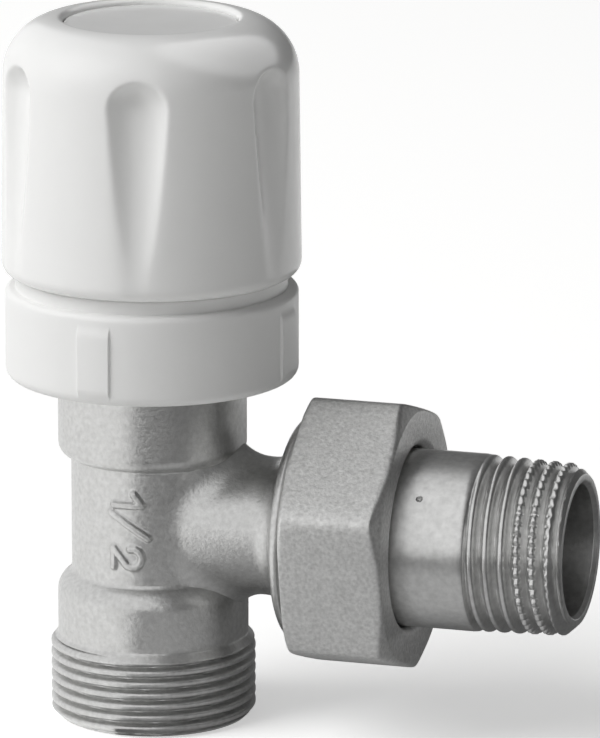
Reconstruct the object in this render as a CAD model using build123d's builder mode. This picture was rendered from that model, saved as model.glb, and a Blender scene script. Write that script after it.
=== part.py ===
from build123d import *
import os
from math import cos, pi

# Angle valve for a radiator, half inch, opened and closed by a fluted hand wheel.
# Millimetres. The origin is the middle of the inlet's end face, +Z runs up the spindle
# and +X runs along the outlet. The valve is drawn closed, with the union tight.

# Inlet: male compression end at the foot of the body
inlet_thread_diameter = 24.0
inlet_thread_length = 9.0
inlet_chamfer = 1.0
inlet_wall = 3.0
inlet_runout = 0.9
inlet_socket_depth = 7.0
inlet_cone_depth = 3.0

# Seat and water chamber
seat_bore_diameter = 11.0
seat_lip_width = 1.2
seat_lip_height = 1.4
seat_channel_width = 1.05
seat_margin = 0.24

# Body column
neck_wall = 1.75
barrel_step = 1.65
barrel_height = 14.5
shoulder_height = 2.9
cup_bottom = 31.3
cup_height = 12.7
cup_edge_height = 1.9
cup_wall = 1.75
bonnet_ledge = 1.5
bonnet_ledge_depth = 8.5

# Outlet branch and the union's male thread
outlet_height = 23.6
branch_bore_diameter = 12.2
branch_wall = 1.95
branch_blend_radius = 5.0
branch_straight = 0.1
flare_radius = 3.4
union_chamfer = 0.5
nose_socket_setback = 4.2

# Tailpiece
tail_barrel_diameter = 20.6
tail_thread_step = 0.1
tail_thread_length = 11.2
tail_relief_width = 0.9
tail_relief_depth = 0.7
tail_chamfer = 1.3
tail_length = 21.84
tail_bore_diameter = 15.28
tail_bore_depth = 17.7
tail_key_across_flats = 12.0
tail_flange_lip = 1.9
tail_flange_thickness = 2.1
tail_flange_play = 1.02
tail_nose_bore_diameter = 12.6
tail_nose_wall = 1.3
tail_nose_bore_depth = 6.1
tail_seal_section = 1.6
tail_seal_groove_width = 2.0
tail_seal_setback = 2.8

# Union nut
nut_setback = 2.0
nut_length = 12.05
nut_wall = 1.7
nut_shoulder = 2.1
nut_roll = 18.5
nut_thread_clearance = 0.08
nut_tail_clearance = 0.3
nut_face_inset = 0.1
nut_back_inset = 1.3
nut_chamfer_slope = 0.42

# Bonnet: the brass headwork screwed into the cup
bonnet_hex_across_flats = 21.0
bonnet_hex_height = 5.0
bonnet_neck_diameter = 14.0
bonnet_neck_height = 7.9
bonnet_seal_thickness = 1.0
bonnet_stop_depth = 3.3
wiper_height = 1.4
wiper_width = 1.35

# Spindle and its screw travel
spindle_thread_diameter = 10.1
spindle_stem_diameter = 8.0
spindle_square = 5.6
spindle_lift = 3.75
spindle_lift_reserve = 0.2
stem_seal_section = 1.1
stem_seal_groove_width = 1.5
stem_seal_lower_rise = 1.7
stem_seal_spacing = 3.5
pivot_diameter = 6.8
pivot_length = 4.6
pivot_groove_depth = 0.9

# Disc that closes the seat
disc_gap = 0.85
disc_rim = 0.4
disc_rim_height = 1.2
disc_gasket_thickness = 2.0
disc_floor = 2.5
disc_shoulder_drop = 0.9
disc_boss_wall = 1.45
disc_boss_height = 4.3
disc_clip_thickness = 0.8
disc_clip_rise = 2.3
disc_clip_bite = 0.75
disc_clip_gap_width = 3.2
disc_washer_diameter = 8.4
disc_washer_thickness = 0.8
disc_screw_diameter = 3.0
disc_screw_head_diameter = 5.6
disc_screw_head_height = 1.8
disc_screw_slot = 0.8

# Collar ring under the hand wheel
collar_drop = 3.2
collar_height = 10.6
collar_shelf = 1.6
collar_sleeve_wall = 1.2
collar_sleeve_rise = 5.2
collar_channel = 1.68
collar_wall = 1.6
collar_web = 1.6
collar_edge_radius = 0.75
collar_foot_radius = 1.2
collar_lip_height = 1.4
collar_pad_width = 3.95
collar_pad_height = 0.35
collar_pad_top_margin = 0.8
collar_pad_angle = -95.0
collar_pad_pairs = 2

# Hand wheel
wheel_gap = 0.4
wheel_height = 29.9
wheel_overhang = 0.37
wheel_edge_inset = 0.97
wheel_edge_height = 1.5
wheel_draft = 0.37
wheel_shoulder_height = 7.0
wheel_rim_inset = 6.5
wheel_rim_bevel = 0.4
wheel_skirt_wall = 2.47
wheel_skirt_depth = 6.8
wheel_wall = 3.57
wheel_ceiling = 2.2
wheel_hub_diameter = 13.0
wheel_hub_clearance = 2.5
wheel_rib_thickness = 1.2
wheel_rib_drop = 12.0
flute_count = 6
flute_angle = -77.0
flute_radius = 4.06
flute_depth = 2.0
flute_edge_radius = 0.8
flute_foot = 1.8
flute_head = 7.7
cap_pocket_depth = 4.0
cap_recess = 1.05
cap_wall = 1.4
cap_edge_bevel = 0.25
screw_recess_diameter = 9.2
screw_recess_depth = 6.2
screw_web = 2.0
wheel_screw_diameter = 4.0
wheel_screw_head_diameter = 7.2
wheel_screw_head_height = 2.4
wheel_screw_key = 2.5
wheel_screw_key_depth = 1.3
wheel_screw_reach = 9.5
wheel_screw_hole_depth = 10.5
screw_washer_diameter = 8.6
screw_washer_thickness = 0.8

# Clearances
running_clearance = 0.05
seat_clearance = 0.05
fixing_clearance = 0.05
free_clearance = 0.15

# Radii that follow from the sizes above
inlet_thread_radius = inlet_thread_diameter / 2
inlet_socket_radius = inlet_thread_radius - inlet_wall
seat_bore_radius = seat_bore_diameter / 2
seat_lip_radius = seat_bore_radius + seat_lip_width
chamber_radius = seat_lip_radius + seat_channel_width
neck_radius = chamber_radius + neck_wall
barrel_radius = neck_radius + barrel_step
cup_bore_radius = chamber_radius + bonnet_ledge
cup_radius = cup_bore_radius + cup_wall
branch_bore_radius = branch_bore_diameter / 2
branch_radius = branch_bore_radius + branch_wall
tail_radius = tail_barrel_diameter / 2
tail_thread_radius = tail_radius - tail_thread_step
tail_relief_radius = tail_thread_radius - tail_relief_depth
tail_bore_radius = tail_bore_diameter / 2
tail_flange_radius = tail_radius + tail_flange_lip
union_thread_radius = tail_flange_radius + tail_flange_play
tail_nose_bore_radius = tail_nose_bore_diameter / 2
tail_groove_radius = tail_nose_bore_radius + tail_nose_wall
nose_socket_radius = tail_groove_radius + tail_seal_section + running_clearance
tail_nose_radius = nose_socket_radius - free_clearance
nut_bore_radius = union_thread_radius + nut_thread_clearance
nut_hole_radius = tail_radius + nut_tail_clearance
nut_flat_radius = nut_bore_radius + nut_wall
nut_corner_radius = nut_flat_radius / cos(pi / 6)
bonnet_thread_radius = cup_bore_radius - fixing_clearance
bonnet_hex_corner = bonnet_hex_across_flats / 2 / cos(pi / 6)
bonnet_neck_radius = bonnet_neck_diameter / 2
spindle_thread_radius = spindle_thread_diameter / 2
stem_radius = spindle_stem_diameter / 2
stem_bore_radius = stem_radius + running_clearance
stem_groove_radius = stem_radius - stem_seal_section
pivot_radius = pivot_diameter / 2
pivot_socket_radius = pivot_radius + running_clearance
disc_radius = chamber_radius - disc_gap
disc_recess_radius = disc_radius - disc_rim
disc_boss_radius = pivot_socket_radius + disc_boss_wall
disc_screw_radius = disc_screw_diameter / 2
collar_sleeve_bore = bonnet_hex_corner + 3 * free_clearance
collar_sleeve_radius = collar_sleeve_bore + collar_sleeve_wall
collar_skirt_bore = collar_sleeve_radius + collar_channel
collar_radius = collar_skirt_bore + collar_wall
collar_lip_radius = collar_radius - collar_edge_radius
wheel_radius = collar_radius + wheel_overhang
wheel_top_radius = wheel_radius - wheel_draft
wheel_rim_radius = wheel_top_radius - wheel_rim_inset
cap_pocket_radius = wheel_rim_radius - wheel_rim_bevel
cap_radius = cap_pocket_radius - 2 * fixing_clearance
skirt_bore_radius = wheel_radius - wheel_skirt_wall
wheel_bore_radius = wheel_radius - wheel_wall
hub_radius = wheel_hub_diameter / 2
wheel_screw_radius = wheel_screw_diameter / 2

# Heights that follow from the sizes above
shoulder_top = barrel_height + shoulder_height
seat_top = outlet_height - branch_bore_radius - seat_margin
chamber_floor = seat_top - seat_lip_height
cup_top = cup_bottom + cup_height
ledge_height = cup_top - bonnet_ledge_depth
bonnet_bottom = ledge_height + bonnet_seal_thickness
bonnet_hex_bottom = cup_top + collar_shelf
bonnet_hex_top = bonnet_hex_bottom + bonnet_hex_height
bonnet_top = bonnet_hex_top + bonnet_neck_height
bonnet_stop = bonnet_hex_top - bonnet_stop_depth
gasket_bottom = seat_top + seat_clearance
gasket_top = gasket_bottom + disc_gasket_thickness
disc_rim_bottom = gasket_top - disc_rim_height
socket_floor = gasket_top + disc_floor
disc_shoulder = socket_floor - disc_shoulder_drop
disc_top = socket_floor + disc_boss_height
disc_clip_bottom = socket_floor + disc_clip_rise
pivot_bottom = socket_floor + free_clearance
pivot_top = pivot_bottom + pivot_length
spindle_thread_top = bonnet_stop - spindle_lift - spindle_lift_reserve
stem_seal_lower_height = bonnet_stop + stem_seal_lower_rise
collar_bottom = cup_top - collar_drop
collar_top = collar_bottom + collar_height
collar_lip_top = collar_top + collar_lip_height
collar_sleeve_top = collar_lip_top + collar_sleeve_rise
wheel_bottom = collar_lip_top + wheel_gap
wheel_top = wheel_bottom + wheel_height
wheel_shoulder = wheel_top - wheel_shoulder_height
pocket_floor = wheel_top - cap_pocket_depth
ceiling_height = pocket_floor - wheel_ceiling
hub_bottom = bonnet_top + wheel_hub_clearance
screw_seat = pocket_floor - screw_recess_depth
hub_web_bottom = screw_seat - screw_web
spindle_top = hub_web_bottom - 2 * free_clearance
cap_top = wheel_top - cap_recess

# Places along the outlet that follow from the sizes above
flare_start = neck_radius + branch_blend_radius + branch_straight
union_start = flare_start + flare_radius
nose_socket_floor = union_start + nose_socket_setback
nut_start = union_start + nut_setback
nut_end = nut_start + nut_length
nut_shoulder_face = nut_end - nut_shoulder
tail_flange_end = nut_shoulder_face - seat_clearance
tail_flange_start = tail_flange_end - tail_flange_thickness
outlet_end = tail_flange_start - seat_clearance
tail_nose_start = nose_socket_floor + free_clearance
tail_nose_bore_end = tail_nose_start + tail_nose_bore_depth
tail_end = tail_flange_end + tail_length
tail_seal_place = outlet_end - tail_seal_setback

outlet_plane = Plane(origin=(0, 0, outlet_height), x_dir=(1, 0, 0), z_dir=(0, -1, 0))
outlet_axis = Axis((0, 0, outlet_height), (1, 0, 0))

os.makedirs("parts", exist_ok=True)

# Valve body: one hot-forged piece with the inlet, the neck, the cup for the bonnet and the branch
with BuildPart() as valve_body:
    # Branch with its flare up to the union thread
    with BuildSketch(outlet_plane):
        with BuildLine():
            Polyline((0, 0), (0, branch_radius), (flare_start, branch_radius))
            TangentArc(
                (flare_start, branch_radius),
                (union_start, branch_radius + flare_radius),
                tangent=(1, 0),
            )
            Polyline(
                (union_start, branch_radius + flare_radius),
                (union_start, union_thread_radius - union_chamfer),
                (union_start + union_chamfer, union_thread_radius),
                (outlet_end - union_chamfer, union_thread_radius),
                (outlet_end, union_thread_radius - union_chamfer),
                (outlet_end, 0),
                (0, 0),
            )
        make_face()
    revolve(axis=outlet_axis)
    # Neck under the branch, with the blend that the forging die leaves between the two
    with BuildSketch(Plane.XY.offset(inlet_thread_length)):
        Circle(neck_radius)
    extrude(amount=cup_top - inlet_thread_length)
    meeting_edges = valve_body.edges().filter_by(GeomType.BSPLINE)
    fillet(meeting_edges, branch_blend_radius)
    # Column with the threaded inlet, the barrel, the rounded shoulder and the cup
    with BuildSketch(Plane.XZ):
        with BuildLine():
            Polyline(
                (neck_radius, shoulder_top),
                (neck_radius, cup_bottom),
            )
            TangentArc(
                (cup_radius, cup_bottom + cup_edge_height),
                (neck_radius, cup_bottom),
                tangent=(0, -1),
            )
            Polyline(
                (cup_radius, cup_bottom + cup_edge_height),
                (cup_radius, cup_top),
                (0, cup_top),
                (0, 0),
                (inlet_thread_radius - inlet_chamfer, 0),
                (inlet_thread_radius, inlet_chamfer),
                (inlet_thread_radius, inlet_thread_length),
                (barrel_radius, inlet_thread_length + inlet_runout),
                (barrel_radius, barrel_height),
            )
            TangentArc(
                (barrel_radius, barrel_height),
                (neck_radius, shoulder_top),
                tangent=(0, 1),
            )
        make_face()
    revolve(axis=Axis.Z)
    # Water way from the inlet socket through the seat to the bonnet's thread
    with BuildSketch(Plane.XZ):
        with BuildLine():
            Polyline(
                (0, 0),
                (inlet_socket_radius, 0),
                (inlet_socket_radius, inlet_socket_depth),
                (seat_bore_radius, inlet_socket_depth + inlet_cone_depth),
                (seat_bore_radius, seat_top),
                (seat_lip_radius, seat_top),
                (seat_lip_radius, chamber_floor),
                (chamber_radius, chamber_floor),
                (chamber_radius, ledge_height),
                (cup_bore_radius, ledge_height),
                (cup_bore_radius, cup_top),
                (0, cup_top),
                close=True,
            )
        make_face()
    revolve(axis=Axis.Z, mode=Mode.SUBTRACT)
    # Branch bore and the socket for the tail's nose
    with BuildSketch(outlet_plane):
        with BuildLine():
            Polyline(
                (0, 0),
                (0, branch_bore_radius),
                (nose_socket_floor, branch_bore_radius),
                (nose_socket_floor, nose_socket_radius),
                (outlet_end, nose_socket_radius),
                (outlet_end, 0),
                close=True,
            )
        make_face()
    revolve(axis=outlet_axis, mode=Mode.SUBTRACT)
valve_body.part.label = "valve_body"
export_step(valve_body.part, "parts/valve_body.step")

# Union nut: hexagon with a bold chamfer on the free end and a shoulder that holds the tail's flange
with BuildPart() as union_nut:
    nut_plane = Plane(origin=(nut_start, 0, outlet_height), x_dir=(0, -1, 0), z_dir=(1, 0, 0))
    with BuildSketch(nut_plane):
        RegularPolygon(nut_flat_radius, 6, major_radius=False, rotation=-nut_roll)
    extrude(amount=nut_length)
    with BuildSketch(outlet_plane):
        with BuildLine():
            back_radius = nut_corner_radius - nut_back_inset
            face_radius = nut_flat_radius - nut_face_inset
            back_rise = nut_back_inset * nut_chamfer_slope
            face_rise = (nut_corner_radius - face_radius) * nut_chamfer_slope
            Polyline(
                (nut_start, 0),
                (nut_start, back_radius),
                (nut_start + back_rise, nut_corner_radius),
                (nut_end - face_rise, nut_corner_radius),
                (nut_end, face_radius),
                (nut_end, 0),
                close=True,
            )
        make_face()
    revolve(axis=outlet_axis, mode=Mode.INTERSECT)
    with BuildSketch(outlet_plane):
        with BuildLine():
            Polyline(
                (nut_start, 0),
                (nut_start, nut_bore_radius),
                (nut_shoulder_face, nut_bore_radius),
                (nut_shoulder_face, nut_hole_radius),
                (nut_end, nut_hole_radius),
                (nut_end, 0),
                close=True,
            )
        make_face()
    revolve(axis=outlet_axis, mode=Mode.SUBTRACT)
union_nut.part.label = "union_nut"
export_step(union_nut.part, "parts/union_nut.step")

# Tailpiece: nose with the seal groove, flange, plain barrel, relief and threaded end for the radiator
with BuildPart() as tailpiece:
    groove_start = tail_seal_place - tail_seal_groove_width / 2
    groove_end = tail_seal_place + tail_seal_groove_width / 2
    relief_start = tail_end - tail_thread_length
    relief_end = relief_start + tail_relief_width
    with BuildSketch(outlet_plane):
        with BuildLine():
            Polyline(
                (tail_nose_start, 0),
                (tail_nose_start, tail_nose_radius),
                (groove_start, tail_nose_radius),
                (groove_start, tail_groove_radius),
                (groove_end, tail_groove_radius),
                (groove_end, tail_nose_radius),
                (tail_flange_start, tail_nose_radius),
                (tail_flange_start, tail_flange_radius),
                (tail_flange_end, tail_flange_radius),
                (tail_flange_end, tail_radius),
                (relief_start, tail_radius),
                (relief_start, tail_relief_radius),
                (relief_end, tail_relief_radius),
                (relief_end, tail_thread_radius),
                (tail_end - tail_chamfer, tail_thread_radius),
                (tail_end, tail_thread_radius - tail_chamfer),
                (tail_end, 0),
                close=True,
            )
        make_face()
    revolve(axis=outlet_axis)
    with BuildSketch(outlet_plane):
        with BuildLine():
            Polyline(
                (tail_nose_start, 0),
                (tail_nose_start, tail_nose_bore_radius),
                (tail_nose_bore_end, tail_nose_bore_radius),
                (tail_nose_bore_end, 0),
                close=True,
            )
        make_face()
        with BuildLine():
            Polyline(
                (tail_end - tail_bore_depth, 0),
                (tail_end - tail_bore_depth, tail_bore_radius),
                (tail_end, tail_bore_radius),
                (tail_end, 0),
                close=True,
            )
        make_face()
    revolve(axis=outlet_axis, mode=Mode.SUBTRACT)
    # Hexagon inside for the key that screws the tail into the radiator
    key_plane = Plane(origin=(tail_nose_bore_end, 0, outlet_height), x_dir=(0, -1, 0), z_dir=(1, 0, 0))
    with BuildSketch(key_plane):
        RegularPolygon(tail_key_across_flats / 2, 6, major_radius=False)
    extrude(amount=tail_end - tail_bore_depth - tail_nose_bore_end, mode=Mode.SUBTRACT)
tailpiece.part.label = "tailpiece"
export_step(tailpiece.part, "parts/tailpiece.step")

# Round seal of the tail's nose
with BuildPart() as tail_seal:
    with BuildSketch(outlet_plane):
        with Locations((tail_seal_place, tail_groove_radius + tail_seal_section / 2)):
            Circle(tail_seal_section / 2)
    revolve(axis=outlet_axis)
tail_seal.part.label = "tail_seal"
export_step(tail_seal.part, "parts/tail_seal.step")

# Bonnet: thread in the cup, hexagon that clamps the collar, neck with the spindle's thread and bore
with BuildPart() as bonnet:
    with BuildSketch(Plane.XY.offset(bonnet_hex_bottom)):
        RegularPolygon(bonnet_hex_across_flats / 2, 6, major_radius=False)
    extrude(amount=bonnet_hex_height)
    with BuildSketch(Plane.XZ):
        with BuildLine():
            Polyline(
                (0, bonnet_bottom),
                (bonnet_thread_radius, bonnet_bottom),
                (bonnet_thread_radius, bonnet_hex_bottom),
                (bonnet_neck_radius, bonnet_hex_bottom),
                (bonnet_neck_radius, bonnet_top),
                (0, bonnet_top),
                close=True,
            )
        make_face()
    revolve(axis=Axis.Z)
    with BuildSketch(Plane.XZ):
        with BuildLine():
            wiper_floor = bonnet_top - wiper_height
            wiper_radius = stem_bore_radius + wiper_width
            thread_bore_radius = spindle_thread_radius + running_clearance
            Polyline(
                (0, bonnet_bottom),
                (thread_bore_radius, bonnet_bottom),
                (thread_bore_radius, bonnet_stop),
                (stem_bore_radius, bonnet_stop),
                (stem_bore_radius, wiper_floor),
                (wiper_radius, wiper_floor),
                (wiper_radius, bonnet_top),
                (0, bonnet_top),
                close=True,
            )
        make_face()
    revolve(axis=Axis.Z, mode=Mode.SUBTRACT)
bonnet.part.label = "bonnet"
export_step(bonnet.part, "parts/bonnet.step")

# Flat seal between the cup's ledge and the bonnet
with BuildPart() as bonnet_seal:
    with BuildSketch(Plane.XY.offset(ledge_height)):
        Circle(cup_bore_radius - fixing_clearance)
        Circle(chamber_radius, mode=Mode.SUBTRACT)
    extrude(amount=bonnet_seal_thickness)
bonnet_seal.part.label = "bonnet_seal"
export_step(bonnet_seal.part, "parts/bonnet_seal.step")

# Wiper ring in the mouth of the bonnet, which keeps dust off the spindle
with BuildPart() as wiper_ring:
    with BuildSketch(Plane.XY.offset(bonnet_top - wiper_height)):
        Circle(stem_bore_radius + wiper_width - fixing_clearance)
        Circle(stem_bore_radius, mode=Mode.SUBTRACT)
    extrude(amount=wiper_height)
wiper_ring.part.label = "wiper_ring"
export_step(wiper_ring.part, "parts/wiper_ring.step")

# Spindle: pivot for the disc, thread, stem with two seal grooves and a square for the hand wheel
with BuildPart() as spindle:
    with BuildSketch(Plane.XZ):
        with BuildLine():
            clip_groove_bottom = disc_clip_bottom - free_clearance
            clip_groove_top = disc_clip_bottom + disc_clip_thickness + free_clearance
            clip_groove_radius = pivot_radius - pivot_groove_depth
            lower_groove = stem_seal_lower_height - stem_seal_groove_width / 2
            upper_groove = lower_groove + stem_seal_spacing
            Polyline(
                (0, pivot_bottom),
                (pivot_radius, pivot_bottom),
                (pivot_radius, clip_groove_bottom),
                (clip_groove_radius, clip_groove_bottom),
                (clip_groove_radius, clip_groove_top),
                (pivot_radius, clip_groove_top),
                (pivot_radius, pivot_top),
                (spindle_thread_radius, pivot_top),
                (spindle_thread_radius, spindle_thread_top),
                (stem_radius, spindle_thread_top),
                (stem_radius, lower_groove),
                (stem_groove_radius, lower_groove),
                (stem_groove_radius, lower_groove + stem_seal_groove_width),
                (stem_radius, lower_groove + stem_seal_groove_width),
                (stem_radius, upper_groove),
                (stem_groove_radius, upper_groove),
                (stem_groove_radius, upper_groove + stem_seal_groove_width),
                (stem_radius, upper_groove + stem_seal_groove_width),
                (stem_radius, hub_bottom),
                (0, hub_bottom),
                close=True,
            )
        make_face()
    revolve(axis=Axis.Z)
    with BuildSketch(Plane.XY.offset(hub_bottom)):
        Rectangle(spindle_square, spindle_square)
    extrude(amount=spindle_top - hub_bottom)
    with Locations((0, 0, spindle_top)):
        Hole(wheel_screw_radius + fixing_clearance, depth=wheel_screw_hole_depth)
spindle.part.label = "spindle"
export_step(spindle.part, "parts/spindle.step")

# Two round seals that ride in the stem's grooves
for seal_name, seal_rise in (("stem_seal_lower", 0), ("stem_seal_upper", stem_seal_spacing)):
    with BuildPart() as stem_seal:
        with BuildSketch(Plane.XZ):
            seal_middle = stem_groove_radius + stem_seal_section / 2
            with Locations((seal_middle, stem_seal_lower_height + seal_rise)):
                Circle(stem_seal_section / 2)
        revolve(axis=Axis.Z)
    stem_seal.part.label = seal_name
    export_step(stem_seal.part, f"parts/{seal_name}.step")

# Disc holder: rim round the gasket below, boss with the spindle's swivel socket above
with BuildPart() as disc_holder:
    with BuildSketch(Plane.XZ):
        with BuildLine():
            clip_slot_radius = pivot_socket_radius + disc_clip_bite
            Polyline(
                (disc_screw_radius + fixing_clearance, gasket_top),
                (disc_recess_radius, gasket_top),
                (disc_recess_radius, disc_rim_bottom),
                (disc_radius, disc_rim_bottom),
                (disc_radius, disc_shoulder),
                (disc_boss_radius, disc_shoulder),
                (disc_boss_radius, disc_top),
                (pivot_socket_radius, disc_top),
                (pivot_socket_radius, disc_clip_bottom + disc_clip_thickness),
                (clip_slot_radius, disc_clip_bottom + disc_clip_thickness),
                (clip_slot_radius, disc_clip_bottom),
                (pivot_socket_radius, disc_clip_bottom),
                (pivot_socket_radius, socket_floor),
                (disc_screw_radius + fixing_clearance, socket_floor),
                close=True,
            )
        make_face()
    revolve(axis=Axis.Z)
disc_holder.part.label = "disc_holder"
export_step(disc_holder.part, "parts/disc_holder.step")

# Rubber gasket that meets the seat
with BuildPart() as disc_gasket:
    with BuildSketch(Plane.XY.offset(gasket_bottom)):
        Circle(disc_recess_radius - fixing_clearance)
        Circle(disc_screw_radius + fixing_clearance, mode=Mode.SUBTRACT)
    extrude(amount=disc_gasket_thickness)
disc_gasket.part.label = "disc_gasket"
export_step(disc_gasket.part, "parts/disc_gasket.step")

# Washer under the gasket
with BuildPart() as disc_washer:
    with BuildSketch(Plane.XY.offset(gasket_bottom - disc_washer_thickness)):
        Circle(disc_washer_diameter / 2)
        Circle(disc_screw_radius + fixing_clearance, mode=Mode.SUBTRACT)
    extrude(amount=disc_washer_thickness)
disc_washer.part.label = "disc_washer"
export_step(disc_washer.part, "parts/disc_washer.step")

# Slotted screw that holds the gasket and its washer to the disc holder
with BuildPart() as disc_screw:
    head_top = gasket_bottom - disc_washer_thickness
    head_bottom = head_top - disc_screw_head_height
    with BuildSketch(Plane.XY.offset(head_bottom)):
        Circle(disc_screw_head_diameter / 2)
    extrude(amount=disc_screw_head_height)
    with BuildSketch(Plane.XY.offset(head_top)):
        Circle(disc_screw_radius)
    extrude(amount=socket_floor - head_top)
    with BuildSketch(Plane.XY.offset(head_bottom)):
        Rectangle(disc_screw_head_diameter, disc_screw_slot)
    extrude(amount=disc_screw_head_height / 2, mode=Mode.SUBTRACT)
disc_screw.part.label = "disc_screw"
export_step(disc_screw.part, "parts/disc_screw.step")

# Snap ring that keeps the disc on the spindle and lets it swivel
with BuildPart() as disc_clip:
    with BuildSketch(Plane.XY.offset(disc_clip_bottom)):
        Circle(pivot_socket_radius + disc_clip_bite - fixing_clearance)
        Circle(pivot_radius - pivot_groove_depth + running_clearance, mode=Mode.SUBTRACT)
        with Locations((-pivot_radius, 0)):
            Rectangle(2 * pivot_radius, disc_clip_gap_width, mode=Mode.SUBTRACT)
    extrude(amount=disc_clip_thickness)
disc_clip.part.label = "disc_clip"
export_step(disc_clip.part, "parts/disc_clip.step")

# Collar ring: skirt over the cup, shelf under the bonnet's hexagon and a sleeve inside the hand wheel
with BuildPart() as collar_ring:
    with BuildSketch(Plane.XZ):
        with BuildLine():
            TangentArc(
                (collar_radius, collar_bottom + collar_foot_radius),
                (collar_radius - collar_foot_radius, collar_bottom),
                tangent=(0, -1),
            )
            Line(
                (collar_radius, collar_bottom + collar_foot_radius),
                (collar_radius, collar_top - collar_edge_radius),
            )
            TangentArc(
                (collar_radius, collar_top - collar_edge_radius),
                (collar_lip_radius, collar_top),
                tangent=(0, 1),
            )
            Polyline(
                (collar_lip_radius, collar_top),
                (collar_lip_radius, collar_lip_top),
                (collar_sleeve_radius, collar_lip_top),
                (collar_sleeve_radius, collar_sleeve_top),
                (collar_sleeve_bore, collar_sleeve_top),
                (collar_sleeve_bore, bonnet_hex_bottom),
                (bonnet_thread_radius + fixing_clearance, bonnet_hex_bottom),
                (bonnet_thread_radius + fixing_clearance, cup_top),
                (collar_sleeve_radius, cup_top),
                (collar_sleeve_radius, collar_lip_top - collar_web),
                (collar_skirt_bore, collar_lip_top - collar_web),
                (collar_skirt_bore, collar_bottom),
                (collar_radius - collar_foot_radius, collar_bottom),
            )
        make_face()
    revolve(axis=Axis.Z)
    # Raised grip pads in opposite pairs round the skirt
    for pair in range(collar_pad_pairs):
        with BuildSketch(Plane.XY.offset(collar_bottom + collar_foot_radius)):
            pair_angle = collar_pad_angle + pair * 180 / collar_pad_pairs
            Circle(collar_radius + collar_pad_height)
            Circle(collar_radius - collar_wall / 2, mode=Mode.SUBTRACT)
            Rectangle(3 * collar_radius, collar_pad_width, rotation=pair_angle, mode=Mode.INTERSECT)
        extrude(amount=collar_height - collar_foot_radius - collar_edge_radius - collar_pad_top_margin)
collar_ring.part.label = "collar_ring"
export_step(collar_ring.part, "parts/collar_ring.step")

# Tapering flute: a leaning rod with a round end, cut out of the hand wheel's side
flute_foot_height = wheel_bottom + flute_foot
flute_head_height = wheel_top - flute_head
flute_foot_point = Vector(wheel_radius + flute_radius, 0, flute_foot_height)
flute_head_point = Vector(wheel_top_radius + flute_radius - flute_depth, 0, flute_head_height)
flute_run = flute_head_point - flute_foot_point
with BuildPart() as flute_cutter:
    with BuildSketch(Plane(origin=flute_foot_point, z_dir=flute_run)):
        Circle(flute_radius)
    extrude(amount=flute_run.length)
    with Locations(flute_head_point):
        Sphere(flute_radius)

# Hand wheel: moulded shell with a rounded shoulder, an inner hub on ribs and flutes to grip
with BuildPart() as handwheel:
    with BuildSketch(Plane.XZ):
        with BuildLine():
            edge_radius = wheel_radius - wheel_edge_inset
            skirt_top = wheel_bottom + wheel_skirt_depth
            step_rise = wheel_wall - wheel_skirt_wall
            wall_lean = (wheel_top_radius - wheel_radius, wheel_shoulder - wheel_bottom - wheel_edge_height)
            Polyline((skirt_bore_radius, wheel_bottom), (edge_radius, wheel_bottom))
            TangentArc(
                (wheel_radius, wheel_bottom + wheel_edge_height),
                (edge_radius, wheel_bottom),
                tangent=(0, -1),
            )
            Line((wheel_radius, wheel_bottom + wheel_edge_height), (wheel_top_radius, wheel_shoulder))
            TangentArc(
                (wheel_top_radius, wheel_shoulder),
                (wheel_rim_radius, wheel_top),
                tangent=wall_lean,
            )
            Polyline(
                (wheel_rim_radius, wheel_top),
                (cap_pocket_radius, wheel_top - wheel_rim_bevel),
                (cap_pocket_radius, pocket_floor),
                (screw_recess_diameter / 2, pocket_floor),
                (screw_recess_diameter / 2, screw_seat),
                (0, screw_seat),
                (0, hub_bottom),
                (hub_radius, hub_bottom),
                (hub_radius, ceiling_height),
                (wheel_bore_radius, ceiling_height),
                (wheel_bore_radius, skirt_top + step_rise),
                (skirt_bore_radius, skirt_top),
                (skirt_bore_radius, wheel_bottom),
            )
        make_face()
    revolve(axis=Axis.Z)
    # Flutes with softened edges
    with PolarLocations(0, flute_count, start_angle=flute_angle):
        add(flute_cutter.part, mode=Mode.SUBTRACT)
    fillet(handwheel.edges(Select.LAST).filter_by(GeomType.BSPLINE), flute_edge_radius)
    # Ribs from the hub to the shell, one under each land between two flutes
    with BuildSketch(Plane.XY.offset(ceiling_height - wheel_rib_drop)):
        rib_length = wheel_bore_radius - hub_radius + wheel_rib_thickness
        rib_middle = (wheel_bore_radius + hub_radius) / 2
        with PolarLocations(rib_middle, flute_count, start_angle=flute_angle + 180 / flute_count):
            Rectangle(rib_length, wheel_rib_thickness)
    extrude(amount=wheel_rib_drop)
    # Square for the spindle and the way through for the screw
    with BuildSketch(Plane.XY.offset(hub_bottom)):
        hub_square = spindle_square + 2 * fixing_clearance
        Rectangle(hub_square, hub_square)
    extrude(amount=hub_web_bottom - hub_bottom, mode=Mode.SUBTRACT)
    with Locations((0, 0, screw_seat)):
        Hole(wheel_screw_radius + fixing_clearance, depth=2 * screw_web)
handwheel.part.label = "handwheel"
export_step(handwheel.part, "parts/handwheel.step")

# Washer under the hand wheel's screw
with BuildPart() as screw_washer:
    with BuildSketch(Plane.XY.offset(screw_seat)):
        Circle(screw_washer_diameter / 2)
        Circle(wheel_screw_radius + fixing_clearance, mode=Mode.SUBTRACT)
    extrude(amount=screw_washer_thickness)
screw_washer.part.label = "screw_washer"
export_step(screw_washer.part, "parts/screw_washer.step")

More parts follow.
